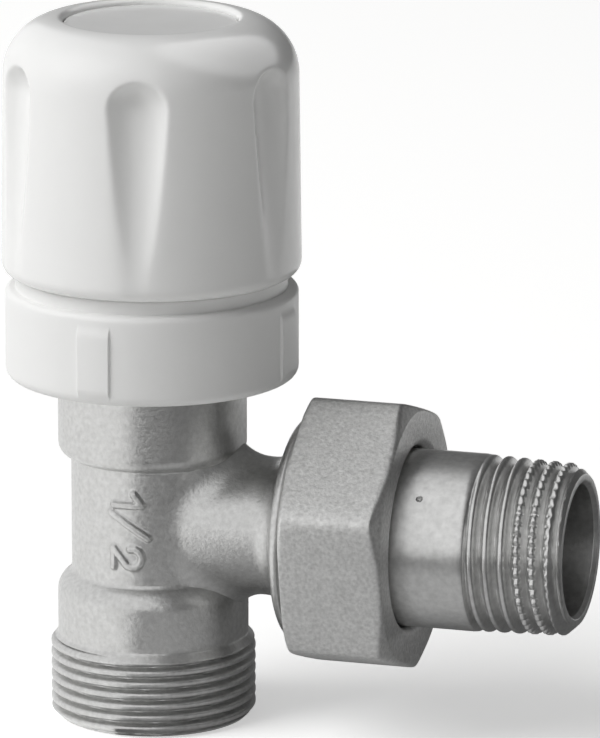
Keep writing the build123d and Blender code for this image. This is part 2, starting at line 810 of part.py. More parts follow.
# Screw that holds the hand wheel on the spindle
with BuildPart() as handwheel_screw:
    head_seat = screw_seat + screw_washer_thickness
    head_end = head_seat + wheel_screw_head_height
    with BuildSketch(Plane.XY.offset(head_seat)):
        Circle(wheel_screw_head_diameter / 2)
    extrude(amount=wheel_screw_head_height)
    with BuildSketch(Plane.XY.offset(head_seat)):
        Circle(wheel_screw_radius)
    extrude(amount=spindle_top - wheel_screw_reach - head_seat)
    with BuildSketch(Plane.XY.offset(head_end)):
        RegularPolygon(wheel_screw_key / 2, 6, major_radius=False)
    extrude(amount=-wheel_screw_key_depth, mode=Mode.SUBTRACT)
handwheel_screw.part.label = "handwheel_screw"
export_step(handwheel_screw.part, "parts/handwheel_screw.step")

# Snap-in cap over the screw
with BuildPart() as handwheel_cap:
    with BuildSketch(Plane.XZ):
        with BuildLine():
            inner_radius = cap_radius - cap_wall
            Polyline(
                (cap_radius, pocket_floor),
                (cap_radius, cap_top - cap_edge_bevel),
                (cap_radius - cap_edge_bevel, cap_top),
                (0, cap_top),
                (0, cap_top - cap_wall),
                (inner_radius, cap_top - cap_wall),
                (inner_radius, pocket_floor),
                close=True,
            )
        make_face()
    revolve(axis=Axis.Z)
handwheel_cap.part.label = "handwheel_cap"
export_step(handwheel_cap.part, "parts/handwheel_cap.step")
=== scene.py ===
import logging
import math
from dataclasses import dataclass
from enum import Enum
from typing import Callable, Optional, Sequence

import bmesh
import bpy
import numpy as np
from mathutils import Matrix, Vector


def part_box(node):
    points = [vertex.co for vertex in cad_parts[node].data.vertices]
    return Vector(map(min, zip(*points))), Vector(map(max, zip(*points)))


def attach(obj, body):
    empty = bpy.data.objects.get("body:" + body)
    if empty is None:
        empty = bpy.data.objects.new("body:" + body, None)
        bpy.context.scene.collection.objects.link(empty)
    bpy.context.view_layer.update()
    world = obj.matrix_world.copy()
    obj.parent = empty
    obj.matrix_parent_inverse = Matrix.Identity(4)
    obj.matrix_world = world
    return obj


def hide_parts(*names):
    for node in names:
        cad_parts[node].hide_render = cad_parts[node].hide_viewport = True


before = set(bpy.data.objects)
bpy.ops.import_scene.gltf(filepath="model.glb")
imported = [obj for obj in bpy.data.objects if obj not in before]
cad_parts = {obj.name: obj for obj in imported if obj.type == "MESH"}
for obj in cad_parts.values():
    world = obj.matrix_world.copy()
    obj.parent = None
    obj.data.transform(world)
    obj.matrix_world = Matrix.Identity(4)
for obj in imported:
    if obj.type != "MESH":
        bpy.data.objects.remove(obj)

# Looks of a half inch radiator angle valve: a satin nickel forging with a union tail
# and a white fluted hand wheel. Sizes are millimetres, and the scene is in metres.

LOG = logging.getLogger("angle_valve")
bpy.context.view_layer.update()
MM = 0.001
TURN = 2.0 * math.pi
ARC_STEP = math.radians(15.0)
WELD = 0.002
WHITE = (1.0, 1.0, 1.0, 1.0)

Array = np.ndarray
Relief = Callable[[Array, Array, Array], Array]


def node_box(node: str) -> tuple[Array, Array]:
    """Lowest and highest corner of a CAD node, in millimetres."""
    low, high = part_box(node)
    return np.array(low) / MM, np.array(high) / MM


OUTLET_HEIGHT = float(np.mean([corner[2] for corner in node_box("tailpiece")]))


class Line(Enum):
    """The straight line that a turned piece goes round."""

    SPINDLE = "spindle"
    OUTLET = "outlet"


class Join(Enum):
    """How a second shape changes the first one."""

    ADD = "UNION"
    CUT = "DIFFERENCE"


@dataclass(frozen=True)
class Corner:
    """A corner of a half section: its place, its rounding and the spacing on it and on the run after it."""

    along: float
    radius: float
    rounding: float = 0.0
    spacing: float = 50.0


def soft_min(first: Array, second: Array, width: float) -> Array:
    """The smaller of two values, with the change from one to the other rounded over a width."""
    return 0.5 * (first + second - np.sqrt((first - second) ** 2 + width**2))


def soft_step(low: float, high: float, value: Array) -> Array:
    """A smooth step from 0 at low to 1 at high."""
    share = np.clip((value - low) / (high - low), 0.0, 1.0)
    return share * share * (3.0 - 2.0 * share)


def turned_by(angle: Array, middle: float) -> Array:
    """An angle measured from a middle direction, between minus and plus half a turn."""
    return (angle - middle + math.pi) % TURN - math.pi


def even_angles(count: int) -> Array:
    """Angles spaced evenly round a full turn."""
    return np.arange(count) * TURN / count


def closer_angles(count: int, *spans: tuple[float, float, int]) -> Array:
    """Angles round a full turn, with more of them inside some spans.

    Args:
        count: how many angles are spread evenly.
        spans: start and end in degrees and the number of angles of each closer stretch.

    Returns:
        The sorted angles in radians.
    """
    parts = [even_angles(count)]
    for start, end, inside in spans:
        parts.append(np.radians(np.linspace(start, end, inside)) % TURN)
    angles = np.sort(np.concatenate(parts))
    gaps = np.diff(angles, append=angles[0] + TURN)
    return angles[gaps > 0.02 * TURN / count]


def polygon_radius(angle: Array, flat: float, sides: int, turn: float, softness: float) -> Array:
    """Distance from a line to a regular prism round it.

    Args:
        angle: directions round the line.
        flat: distance from the line to the middle of a side.
        sides: number of sides.
        turn: direction of the middle of one side.
        softness: how far the edges between the sides are rounded.

    Returns:
        The radius in each direction.
    """
    sector = TURN / sides
    local = (angle - turn) % sector
    return soft_min(flat / np.cos(local), flat / np.cos(sector - local), softness)


def corner_arc(back: Array, point: Array, ahead: Array, reach: float, spacing: float) -> Array:
    """Points that round one corner of a half section.

    Args:
        back: direction to the corner before it.
        point: the corner.
        ahead: direction to the corner after it.
        reach: how far from the corner the arc starts and ends.
        spacing: largest distance between points.

    Returns:
        Points as rows of along and radius: the corner itself where it isn't rounded.
    """
    half = math.acos(float(np.clip(back @ ahead, -1.0, 1.0))) / 2.0
    sweep = math.pi - 2.0 * half
    if reach < WELD or sweep < 0.01:
        return point[None]
    centre = point + (back + ahead) / np.linalg.norm(back + ahead) * reach / math.cos(half)
    start, end = point + back * reach - centre, point + ahead * reach - centre
    step = min(ARC_STEP, spacing / float(np.linalg.norm(start)))
    share = np.linspace(0.0, 1.0, max(2, math.ceil(sweep / step)) + 1)[:, None]
    return centre + (np.sin((1.0 - share) * sweep) * start + np.sin(share * sweep) * end) / math.sin(sweep)


def half_section(corners: Sequence[Corner], closed: bool = True) -> Array:
    """Sample the outline of a turned piece.

    Args:
        corners: the outline's corners in order.
        closed: whether the last corner runs back to the first.

    Returns:
        Points as rows of along and radius.
    """
    places = np.array([(corner.along, corner.radius) for corner in corners])
    runs = np.roll(places, -1, axis=0) - places
    lengths = np.maximum(np.linalg.norm(runs, axis=1), WELD)
    ahead = runs / lengths[:, None]
    back = -np.roll(ahead, 1, axis=0)
    half = np.arccos(np.clip(np.sum(back * ahead, axis=1), -1.0, 1.0)) / 2.0
    reach = np.array([corner.rounding for corner in corners]) / np.tan(np.maximum(half, 0.01))
    if not closed:
        reach[[0, -1]] = 0.0
    room = np.minimum(1.0, 0.98 * lengths / np.maximum(reach + np.roll(reach, -1), WELD))
    reach = reach * np.minimum(room, np.roll(room, 1))
    spacings = [corner.spacing for corner in corners]
    arcs = [corner_arc(*parts) for parts in zip(back, places, ahead, reach, spacings)]
    points = []
    for arc, following, corner in zip(arcs, arcs[1:] + arcs[:1], corners):
        points.extend(arc)
        run = following[0] - arc[-1]
        steps = max(1, math.ceil(float(np.linalg.norm(run)) / corner.spacing))
        if closed or corner is not corners[-1]:
            points.extend(arc[-1] + run * step / steps for step in range(1, steps))
    return np.array(points)


def round_line(line: Line, along: Array, radius: Array, angle: Array) -> Array:
    """Places in the valve's frame from a distance along a line, a radius and an angle."""
    across, up = radius * np.cos(angle), radius * np.sin(angle)
    along = np.broadcast_to(along, across.shape)
    if line is Line.SPINDLE:
        return np.stack([across, up, along], axis=-1)
    return np.stack([along, across, up + OUTLET_HEIGHT], axis=-1)


def section_rings(points: Array, angles: Array, line: Line, relief: Optional[Relief] = None) -> Array:
    """Turn a half section round a line.

    Args:
        points: rows of along and radius.
        angles: directions round the line.
        line: the line.
        relief: changes the radius by place, for threads, flats and figures.

    Returns:
        Rings of places, one for each point.
    """
    along, radius = points[:, :1], points[:, 1:]
    shaped = relief(along, radius, angles[None]) if relief else radius
    return round_line(line, along, shaped, angles[None])


def skin(name: str, rings: Array, closed: bool) -> bpy.types.Object:
    """Cover rings of places with a mesh.

    Args:
        name: the object's name.
        rings: places by ring and by step round the ring.
        closed: whether the last ring joins the first. Open ends are points.

    Returns:
        The new object.
    """
    count, around, _ = rings.shape
    index = np.arange(count * around).reshape(count, around)
    first = index if closed else index[:-1]
    second = np.roll(index, -1, axis=0) if closed else index[1:]
    quads = np.stack([first, np.roll(first, -1, axis=1), np.roll(second, -1, axis=1), second], axis=-1)
    mesh = bpy.data.meshes.new(name)
    mesh.from_pydata((rings.reshape(-1, 3) * MM).tolist(), [], quads.reshape(-1, 4).tolist())
    shape = bmesh.new()
    shape.from_mesh(mesh)
    bmesh.ops.remove_doubles(shape, verts=shape.verts, dist=WELD * MM)
    bmesh.ops.recalc_face_normals(shape, faces=shape.faces)
    shape.to_mesh(mesh)
    shape.free()
    made = bpy.data.objects.new(name, mesh)
    bpy.context.scene.collection.objects.link(made)
    return made


def combine(target: bpy.types.Object, tool: bpy.types.Object, how: Join) -> None:
    """Add a second shape to the first one or cut it out, and use the second one up."""
    change = target.modifiers.new(how.name, "BOOLEAN")
    change.operation = how.value
    change.solver = "MANIFOLD"
    change.object = tool
    bpy.context.view_layer.update()
    made = bpy.data.meshes.new_from_object(target.evaluated_get(bpy.context.evaluated_depsgraph_get()))
    target.modifiers.clear()
    target.data = made
    bpy.data.objects.remove(tool)


def shade(target: bpy.types.Object, crease: float) -> None:
    """Shade a mesh smooth, with creases where its faces meet at more than an angle in degrees."""
    target.data.shade_smooth()
    target.data.set_sharp_from_angle(angle=math.radians(crease))


def to_linear(code: str) -> tuple[float, float, float, float]:
    """Turn an sRGB hex colour into linear red, green, blue and alpha."""
    channels = (int(code[place : place + 2], 16) / 255.0 for place in (1, 3, 5))
    linear = [c / 12.92 if c <= 0.04045 else ((c + 0.055) / 1.055) ** 2.4 for c in channels]
    return linear[0], linear[1], linear[2], 1.0


def per_mm(size: float) -> float:
    """The scale of a pattern whose features have a size in millimetres."""
    return 1.0 / (size * MM)


def add_node(
    tree: bpy.types.NodeTree, kind: str, inputs: Optional[dict] = None, **settings: object
) -> bpy.types.Node:
    """Add a shader node with its settings and links.

    Args:
        tree: the node tree.
        kind: the node's type.
        inputs: values or output sockets by the input's name or number.
        settings: the node's own properties.

    Returns:
        The node.
    """
    node = tree.nodes.new(kind)
    for key, value in settings.items():
        setattr(node, key, value)
    for key, value in (inputs or {}).items():
        if isinstance(value, bpy.types.NodeSocket):
            tree.links.new(value, node.inputs[key])
        else:
            node.inputs[key].default_value = value
    return node


def new_material(name: str) -> tuple[bpy.types.Material, bpy.types.NodeTree]:
    """An empty node material and its tree."""
    material = bpy.data.materials.new(name)
    material.use_nodes = True
    material.node_tree.nodes.clear()
    return material, material.node_tree


@dataclass(frozen=True)
class MetalFinish:
    """A metal surface: grain in its gloss and height, cloudy tone, and turning marks where it has them."""

    name: str
    colour: str
    shade: str
    roughness: float
    roughness_spread: float
    grain: float
    grain_depth: float
    cloud: float
    turned_on: Optional[Line] = None
    mark_width: float = 0.4
    mark_depth: float = 0.0

    def turning_marks(self, tree: bpy.types.NodeTree, place: bpy.types.NodeSocket) -> bpy.types.NodeSocket:
        """Rings that a lathe leaves round a line.

        Args:
            tree: the node tree.
            place: the place on the object.

        Returns:
            The rings' height.
        """
        outlet = self.turned_on is Line.OUTLET
        middle = (0.0, 0.0, OUTLET_HEIGHT * MM) if outlet else (0.0, 0.0, 0.0)
        across = (0.0, 1.0, 1.0) if outlet else (1.0, 1.0, 0.0)
        moved = add_node(tree, "ShaderNodeVectorMath", {0: place, 1: middle}, operation="SUBTRACT")
        flat = add_node(tree, "ShaderNodeVectorMath", {0: moved.outputs[0], 1: across}, operation="MULTIPLY")
        radius = add_node(tree, "ShaderNodeVectorMath", {0: flat.outputs[0]}, operation="LENGTH")
        split = add_node(tree, "ShaderNodeSeparateXYZ", {0: moved.outputs[0]})
        along = split.outputs["X" if outlet else "Z"]
        reach = add_node(tree, "ShaderNodeMath", {0: along, 1: radius.outputs["Value"]}, operation="ADD")
        marks = add_node(
            tree,
            "ShaderNodeTexNoise",
            {"W": reach.outputs[0], "Scale": per_mm(self.mark_width), "Detail": 2.0},
            noise_dimensions="1D",
        )
        return marks.outputs["Fac"]

    def material(self) -> bpy.types.Material:
        """Build the finish.

        Returns:
            The material.
        """
        material, tree = new_material(self.name)
        place = add_node(tree, "ShaderNodeTexCoord").outputs["Object"]
        grain = add_node(
            tree,
            "ShaderNodeTexNoise",
            {"Vector": place, "Scale": per_mm(self.grain), "Detail": 3.0, "Roughness": 0.6},
        )
        cloud = add_node(
            tree, "ShaderNodeTexNoise", {"Vector": place, "Scale": per_mm(self.cloud), "Detail": 4.0}
        )
        tone = add_node(
            tree, "ShaderNodeMapRange", {"Value": cloud.outputs["Fac"], "From Min": 0.3, "From Max": 0.7}
        )
        colour = add_node(
            tree,
            "ShaderNodeMix",
            {0: tone.outputs[0], 6: to_linear(self.shade), 7: to_linear(self.colour)},
            data_type="RGBA",
        )
        gloss = add_node(
            tree,
            "ShaderNodeMapRange",
            {
                "Value": grain.outputs["Fac"],
                "From Min": 0.3,
                "From Max": 0.7,
                "To Min": self.roughness - self.roughness_spread,
                "To Max": self.roughness + self.roughness_spread,
            },
        )
        bump = add_node(
            tree,
            "ShaderNodeBump",
            {"Height": grain.outputs["Fac"], "Distance": self.grain_depth * MM, "Strength": 1.0},
        )
        if self.turned_on:
            bump = add_node(
                tree,
                "ShaderNodeBump",
                {
                    "Height": self.turning_marks(tree, place),
                    "Distance": self.mark_depth * MM,
                    "Strength": 1.0,
                    "Normal": bump.outputs[0],
                },
            )
        surface = add_node(
            tree,
            "ShaderNodeBsdfPrincipled",
            {
                "Base Color": colour.outputs[2],
                "Metallic": 1.0,
                "Roughness": gloss.outputs[0],
                "Normal": bump.outputs[0],
            },
        )
        add_node(tree, "ShaderNodeOutputMaterial", {"Surface": surface.outputs[0]})
        return material


@dataclass(frozen=True)
class SoftFinish:
    """A plastic, rubber or fibre surface: two close tones, an uneven gloss and a low texture."""

    name: str
    colour: str
    shade: str
    roughness: float
    roughness_spread: float
    ior: float
    texture: float
    texture_depth: float
    cloud: float

    def material(self) -> bpy.types.Material:
        """Build the finish.

        Returns:
            The material.
        """
        material, tree = new_material(self.name)
        place = add_node(tree, "ShaderNodeTexCoord").outputs["Object"]
        texture = add_node(
            tree, "ShaderNodeTexNoise", {"Vector": place, "Scale": per_mm(self.texture), "Detail": 2.0}
        )
        cloud = add_node(
            tree, "ShaderNodeTexNoise", {"Vector": place, "Scale": per_mm(self.cloud), "Detail": 3.0}
        )
        colour = add_node(
            tree,
            "ShaderNodeMix",
            {0: cloud.outputs["Fac"], 6: to_linear(self.shade), 7: to_linear(self.colour)},
            data_type="RGBA",
        )
        gloss = add_node(
            tree,
            "ShaderNodeMapRange",
            {
                "Value": cloud.outputs["Fac"],
                "From Min": 0.3,
                "From Max": 0.7,
                "To Min": self.roughness - self.roughness_spread,
                "To Max": self.roughness + self.roughness_spread,
            },
        )
        bump = add_node(
            tree,
            "ShaderNodeBump",
            {"Height": texture.outputs["Fac"], "Distance": self.texture_depth * MM, "Strength": 1.0},
        )
        surface = add_node(
            tree,
            "ShaderNodeBsdfPrincipled",
            {
                "Base Color": colour.outputs[2],
                "Roughness": gloss.outputs[0],
                "IOR": self.ior,
                "Normal": bump.outputs[0],
            },
        )
        add_node(tree, "ShaderNodeOutputMaterial", {"Surface": surface.outputs[0]})
        return material


# Hot-forged brass, shot blasted and nickel plated: a pale satin grey, mottled by a fine grain in its soft
# reflections. The grain is drawn coarser than real so that it shows.
BLASTED_NICKEL = MetalFinish(
    name="nickel_plated_blasted_forging",
    colour="#D0D0CF",
    shade="#BFBFBE",
    roughness=0.36,
    roughness_spread=0.07,
    grain=0.40,
    grain_depth=0.042,
    cloud=0.6,
)
# Bar brass tumbled before plating: speckled, with a deeper grain and duller flats than the forging.
TUMBLED_NICKEL = MetalFinish(
    name="nickel_plated_tumbled_brass",
    colour="#E4E4E3",
    shade="#C8C8C7",
    roughness=0.52,
    roughness_spread=0.06,
    grain=0.40,
    grain_depth=0.06,
    cloud=0.45,
)
# Turned brass, nickel plated: brighter, with the lathe's rings, drawn wider than real so that they show.
TURNED_NICKEL = MetalFinish(
    name="nickel_plated_turned_brass",
    colour="#DBDBDA",
    shade="#C8C8C7",
    roughness=0.32,
    roughness_spread=0.035,
    grain=0.5,
    grain_depth=0.006,
    cloud=0.8,
    turned_on=Line.OUTLET,
    mark_width=0.35,
    mark_depth=0.004,
)
# Bare brass from the lathe: yellow, with fine rings, drawn wider than real so that they show.
TURNED_BRASS = MetalFinish(
    name="bare_turned_brass",
    colour="#D9B76C",
    shade="#C9A45A",
    roughness=0.32,
    roughness_spread=0.035,
    grain=0.5,
    grain_depth=0.003,
    cloud=3.0,
    turned_on=Line.SPINDLE,
    mark_width=0.35,
    mark_depth=0.004,
)
# Zinc plated steel: a cool pale grey with a fine crystal grain.
ZINC_STEEL = MetalFinish(
    name="zinc_plated_steel",
    colour="#C3C7CB",
    shade="#ABB0B5",
    roughness=0.35,
    roughness_spread=0.06,
    grain=0.3,
    grain_depth=0.004,
    cloud=1.2,
)
# Injection moulded ABS with a polished tool: bright white with a half gloss and faint flow unevenness.
GLOSS_ABS = SoftFinish(
    name="moulded_white_abs_half_gloss",
    colour="#F3F3F2",
    shade="#F1F1F0",
    roughness=0.22,
    roughness_spread=0.02,
    ior=1.53,
    texture=1.6,
    texture_depth=0.002,
    cloud=6.0,
)
# The collar's ABS comes from a finely sparked tool: the same white with a softer sheen.
SATIN_ABS = SoftFinish(
    name="moulded_white_abs_satin",
    colour="#F1F1F0",
    shade="#EFEFEE",
    roughness=0.40,
    roughness_spread=0.04,
    ior=1.53,
    texture=0.5,
    texture_depth=0.004,
    cloud=5.0,
)
# Moulded EPDM rubber: near black and dull, with a fine tooth.
EPDM_RUBBER = SoftFinish(
    name="moulded_epdm_rubber",
    colour="#232324",
    shade="#1B1B1C",
    roughness=0.62,
    roughness_spread=0.06,
    ior=1.52,
    texture=0.3,
    texture_depth=0.006,
    cloud=2.0,
)
# Pressed fibre sheet: red brown with short fibres that cloud its tone.
FIBRE_SHEET = SoftFinish(
    name="pressed_fibre_sheet",
    colour="#8C5A44",
    shade="#754734",
    roughness=0.75,
    roughness_spread=0.08,
    ior=1.50,
    texture=0.35,
    texture_depth=0.012,
    cloud=1.0,
)


@dataclass(frozen=True)
class PipeThread:
    """A 55 degree pipe thread: with its round crests and roots it is close to a sine wave."""

    start: float
    end: float
    crest: float
    pitch: float
    taper: float = 0.0
    fade: float = 0.6
    root_sharpness: float = 1.5
    edge_softness: float = 0.04
    catch: float = 1.7

    @property
    def depth(self) -> float:
        """Height from root to crest."""
        return 0.64 * self.pitch

    def cut(self, along: Array, radius: Array, angle: Array) -> Array:
        """Cut the thread into a turned surface.

        Args:
            along: distance along the thread's line.
            radius: radius of the plain surface.
            angle: direction round the line.

        Returns:
            The radius with the thread in it.
        """
        phase = (along - self.start) / self.pitch - angle / TURN
        wave = (0.5 - 0.5 * np.cos(TURN * phase)) ** self.root_sharpness
        crest = self.crest - self.taper * (along - self.start) / (self.end - self.start)
        groove = crest - self.depth * wave * soft_step(self.start, self.start + self.fade, along)
        outside = (along >= self.start) & (along <= self.end)
        outside &= radius > self.crest - self.catch * self.depth
        return np.where(outside, soft_min(radius, groove, self.edge_softness), radius)


@dataclass(frozen=True)
class Dent:
    """A small pit left in a forged or tumbled surface."""

    along: float
    direction: float
    width: float
    depth: float

    def cut(self, along: Array, radius: Array, angle: Array) -> Array:
        """How much the pit lowers the surface at a place."""
        across = turned_by(angle, math.radians(self.direction)) * radius
        distance = np.hypot(along - self.along, across)
        return self.depth * soft_step(self.width, 0.0, distance)


def place_piece(
    piece: bpy.types.Object, finish: bpy.types.Material, body: str, node: str
) -> bpy.types.Object:
    """Dress a modelled piece and set it on its body in place of its CAD node.

    Args:
        piece: the piece.
        finish: its material.
        body: the CAD body that it rides on.
        node: the CAD node that it stands for.

    Returns:
        The piece.
    """
    piece.data.materials.clear()
    piece.data.materials.append(finish)
    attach(piece, body)
    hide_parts(node)
    LOG.info("%s rides on %s for %s: %d faces", piece.name, body, node, len(piece.data.polygons))
    return piece


@dataclass(frozen=True)
class SizeMark:
    """The raised 1/2 on the neck, which reads downwards with the tops of the figures to the right."""

    foot_direction: float = -100.3
    one_place: float = 27.3
    slash_start: float = 26.3
    slash_end: float = 23.4
    two_start: float = 22.1
    two_width: float = 2.25
    height: float = 3.45
    stroke: float = 0.78
    rise: float = 0.36
    softness: float = 0.42

    def strokes(self) -> list[tuple[float, float, float, float]]:
        """The figures' strokes.

        Returns:
            Start and end of each stroke as height on the neck and distance from the figures' foot.
        """
        top = self.height
        bow = self.two_width / 2.0
        bow_centre = self.two_start - bow
        bow_middle = top - bow
        lines = [
            (self.one_place, 0.1, self.one_place, top),
            (self.one_place, top, self.one_place + 1.35, top - 0.95),
            (self.slash_start, -0.25, self.slash_end, top + 0.75),
            (self.two_start, 0.0, self.two_start - self.two_width, 0.0),
        ]
        bends = np.radians(np.linspace(-35.0, 195.0, 9))
        bow_points = [
            (bow_centre - bow * math.cos(bend), bow_middle + bow * math.sin(bend)) for bend in bends
        ]
        lines += [(*a, *b) for a, b in zip(bow_points, bow_points[1:])]
        lines.append((*bow_points[0], self.two_start, 0.0))
        return lines

    def raised(self, along: Array, radius: Array, angle: Array) -> Array:
        """How far the figures stand out at a place on the neck."""
        across = turned_by(angle, math.radians(self.foot_direction)) * radius
        nearest = np.full(np.broadcast(along, across).shape, 9.0)
        for start_along, start_across, end_along, end_across in self.strokes():
            run_along, run_across = end_along - start_along, end_across - start_across
            from_along, from_across = along - start_along, across - start_across
            share = (from_along * run_along + from_across * run_across) / (run_along**2 + run_across**2)
            share = np.clip(share, 0.0, 1.0)
            gap = np.hypot(from_along - share * run_along, from_across - share * run_across)
            nearest = np.minimum(nearest, gap)
        half = self.stroke / 2.0
        return self.rise * soft_step(half + self.softness / 2.0, half - self.softness / 2.0, nearest)


@dataclass(frozen=True)
class ForgedBody:
    """The hot-forged valve body: threaded inlet, barrel, neck, cup and the blended outlet branch."""

    cup_radius: float = 11.0
    cup_bottom: float = 31.3
    cup_edge: float = 1.95
    cup_fall: float = 0.36
    cup_bore: float = 9.25
    ledge: float = 35.5
    neck_radius: float = 9.5
    barrel_radius: float = 11.15
    shoulder_top: float = 17.4
    shoulder_round: float = 3.37
    shoulder_fall: float = 0.98
    inlet_end: float = 9.0
    inlet_chamfer: float = 1.0
    socket_radius: float = 9.0
    socket_depth: float = 7.0
    seat_bore: float = 5.5
    seat_top: float = 17.26
    lip_radius: float = 6.7
    chamber_radius: float = 7.75
    chamber_floor: float = 15.86
    branch_radius: float = 8.05
    branch_bore: float = 6.1
    blend_radius: float = 5.0
    flare_start: float = 14.6
    flare_round: float = 3.4
    nose_socket: float = 9.25
    nose_socket_floor: float = 22.2
    union_crest: float = 13.22
    union_edge: float = 1.0
    union_pitch: float = 1.814
    inlet_crest: float = 12.0
    inlet_pitch: float = 1.337
    edge: float = 0.25
    pit: Dent = Dent(33.4, -103.7, 0.45, 0.12)
    mark_span: tuple[float, float, int] = (-106.0, -70.0, 84)

    def column_relief(self, along: Array, radius: Array, angle: Array) -> Array:
        """Inlet thread, size mark and a forging pit on the column."""
        thread = PipeThread(
            0.0, self.inlet_end + 0.5, self.inlet_crest, self.inlet_pitch, fade=0.05, root_sharpness=2.4
        )
        shaped = thread.cut(along, radius, angle)
        on_neck = (along > self.shoulder_top) & (along < self.cup_bottom)
        on_neck &= radius > self.neck_radius - 0.1
        shaped = shaped + np.where(on_neck, SizeMark().raised(along, radius, angle), 0.0)
        return shaped - np.where(radius > self.cup_bore + 1.0, self.pit.cut(along, radius, angle), 0.0)

    def column(self) -> bpy.types.Object:
        """The upright part as a solid, without its bores."""
        cup_top = node_box("valve_body")[1][2]
        corners = [
            Corner(0.0, 0.0),
            Corner(0.0, self.inlet_crest - self.inlet_chamfer, 0.15, 0.1),
            Corner(self.inlet_chamfer, self.inlet_crest, 0.2, 0.1),
            Corner(self.inlet_end, self.inlet_crest, 0.1, 0.12),
            Corner(self.inlet_end + 0.9, self.barrel_radius, 0.4, 0.8),
            Corner(self.shoulder_top - self.shoulder_fall, self.barrel_radius, self.shoulder_round, 0.25),
            Corner(self.shoulder_top, self.neck_radius, 0.8, 0.16),
            Corner(self.cup_bottom, self.neck_radius, 0.45),
            Corner(self.cup_bottom + self.cup_fall, self.cup_radius, self.cup_edge, 0.25),
            Corner(cup_top, self.cup_radius, self.edge),
            Corner(cup_top, 0.0),
        ]
        angles = closer_angles(168, self.mark_span)
        rings = section_rings(half_section(corners, False), angles, Line.SPINDLE, self.column_relief)
        return skin("forged_body", rings, False)

    def branch(self) -> bpy.types.Object:
        """The outlet branch as a solid, with the blend to the neck, the flare and the union thread."""
        angle = even_angles(180)[None]
        neck, branch, blend = self.neck_radius, self.branch_radius, self.blend_radius
        ball_across = (branch + blend) * np.cos(angle)
        ball_up = (branch + blend) * np.sin(angle)
        ball_along = np.sqrt((neck + blend) ** 2 - ball_across**2)
        ball = np.stack([ball_along, ball_across, ball_up], axis=-1)
        flat = ball * np.array([1.0, 1.0, 0.0])
        to_neck = -flat / (neck + blend)
        to_branch = -ball * np.array([0.0, 1.0, 1.0]) / (branch + blend)
        opening = np.arccos(np.sum(to_neck * to_branch, axis=-1, keepdims=True))
        share = np.linspace(0.0, 1.0, 15)[:, None, None]
        swing = np.sin((1.0 - share) * opening) * to_neck + np.sin(share * opening) * to_branch
        blended = ball + blend * swing / np.sin(opening)
        blended[0, :, :2] *= 1.0 - 0.03 / neck
        root = np.concatenate([np.zeros_like(ball), blended[:1] * np.array([0.2, 0.6, 0.6])])
        share = np.linspace(0.0, 1.0, 7)[1:, None, None]
        straight = blended[-1:] + share * (self.flare_start - blended[-1:]) * np.array([1.0, 0.0, 0.0])
        upright = np.concatenate([root, blended, straight]) + np.array([0.0, 0.0, OUTLET_HEIGHT])
        outlet_end = node_box("valve_body")[1][0]
        union_start = self.flare_start + self.flare_round
        bends = np.linspace(0.0, math.pi / 2.0, 12)[1:]
        flare = np.stack(
            [
                self.flare_start + self.flare_round * np.sin(bends),
                branch + self.flare_round * (1.0 - np.cos(bends)),
            ],
            axis=-1,
        )
        corners = [
            Corner(union_start, branch + self.flare_round + 0.05),
            Corner(union_start, self.union_crest, self.union_edge, 0.12),
            Corner(outlet_end - 0.5, self.union_crest, 0.1),
            Corner(outlet_end, self.union_crest - 0.6, 0.15),
            Corner(outlet_end, 0.0),
        ]
        thread_start = union_start + self.union_edge
        thread = PipeThread(thread_start, outlet_end + 1.0, self.union_crest, self.union_pitch)
        points = np.concatenate([flare, half_section(corners, False)])
        ends = section_rings(points, angle[0], Line.OUTLET, thread.cut)
        return skin("branch", np.concatenate([upright, ends]), False)

    def water_way(self) -> bpy.types.Object:
        """The bores on the spindle's line, as a shape to cut out."""
        cup_top = node_box("valve_body")[1][2]
        corners = [
            Corner(-1.0, 0.0),
            Corner(-1.0, self.socket_radius + 1.3),
            Corner(0.3, self.socket_radius, 0.1),
            Corner(self.socket_depth, self.socket_radius, 0.2),
            Corner(self.socket_depth + 3.0, self.seat_bore, 0.3),
            Corner(self.seat_top, self.seat_bore, 0.15),
            Corner(self.seat_top, self.lip_radius, 0.15),
            Corner(self.chamber_floor, self.lip_radius, 0.1),
            Corner(self.chamber_floor, self.chamber_radius, 0.3),
            Corner(self.ledge, self.chamber_radius, 0.1),
            Corner(self.ledge, self.cup_bore, 0.1),
            Corner(cup_top + 1.0, self.cup_bore),
            Corner(cup_top + 1.0, 0.0),
        ]
        rings = section_rings(half_section(corners, False), even_angles(96), Line.SPINDLE)
        return skin("water_way", rings, False)

    def branch_way(self) -> bpy.types.Object:
        """The branch's bore and the socket for the tail's nose, as a shape to cut out."""
        outlet_end = node_box("valve_body")[1][0]
        corners = [
            Corner(0.0, 0.0),
            Corner(0.0, self.branch_bore),
            Corner(self.nose_socket_floor, self.branch_bore, 0.2),
            Corner(self.nose_socket_floor, self.nose_socket, 0.2),
            Corner(outlet_end - 0.4, self.nose_socket, 0.1),
            Corner(outlet_end + 0.6, self.nose_socket + 1.0),
            Corner(outlet_end + 0.6, 0.0),
        ]
        rings = section_rings(half_section(corners, False), even_angles(96), Line.OUTLET)
        return skin("branch_way", rings, False)

    def build(self) -> bpy.types.Object:
        """Forge, bore and dress the body.

        Returns:
            The finished piece.
        """
        body = self.column()
        combine(body, self.branch(), Join.ADD)
        combine(body, self.water_way(), Join.CUT)
        combine(body, self.branch_way(), Join.CUT)
        shade(body, 40.0)
        return place_piece(body, BLASTED_NICKEL.material(), "valve", "valve_body")


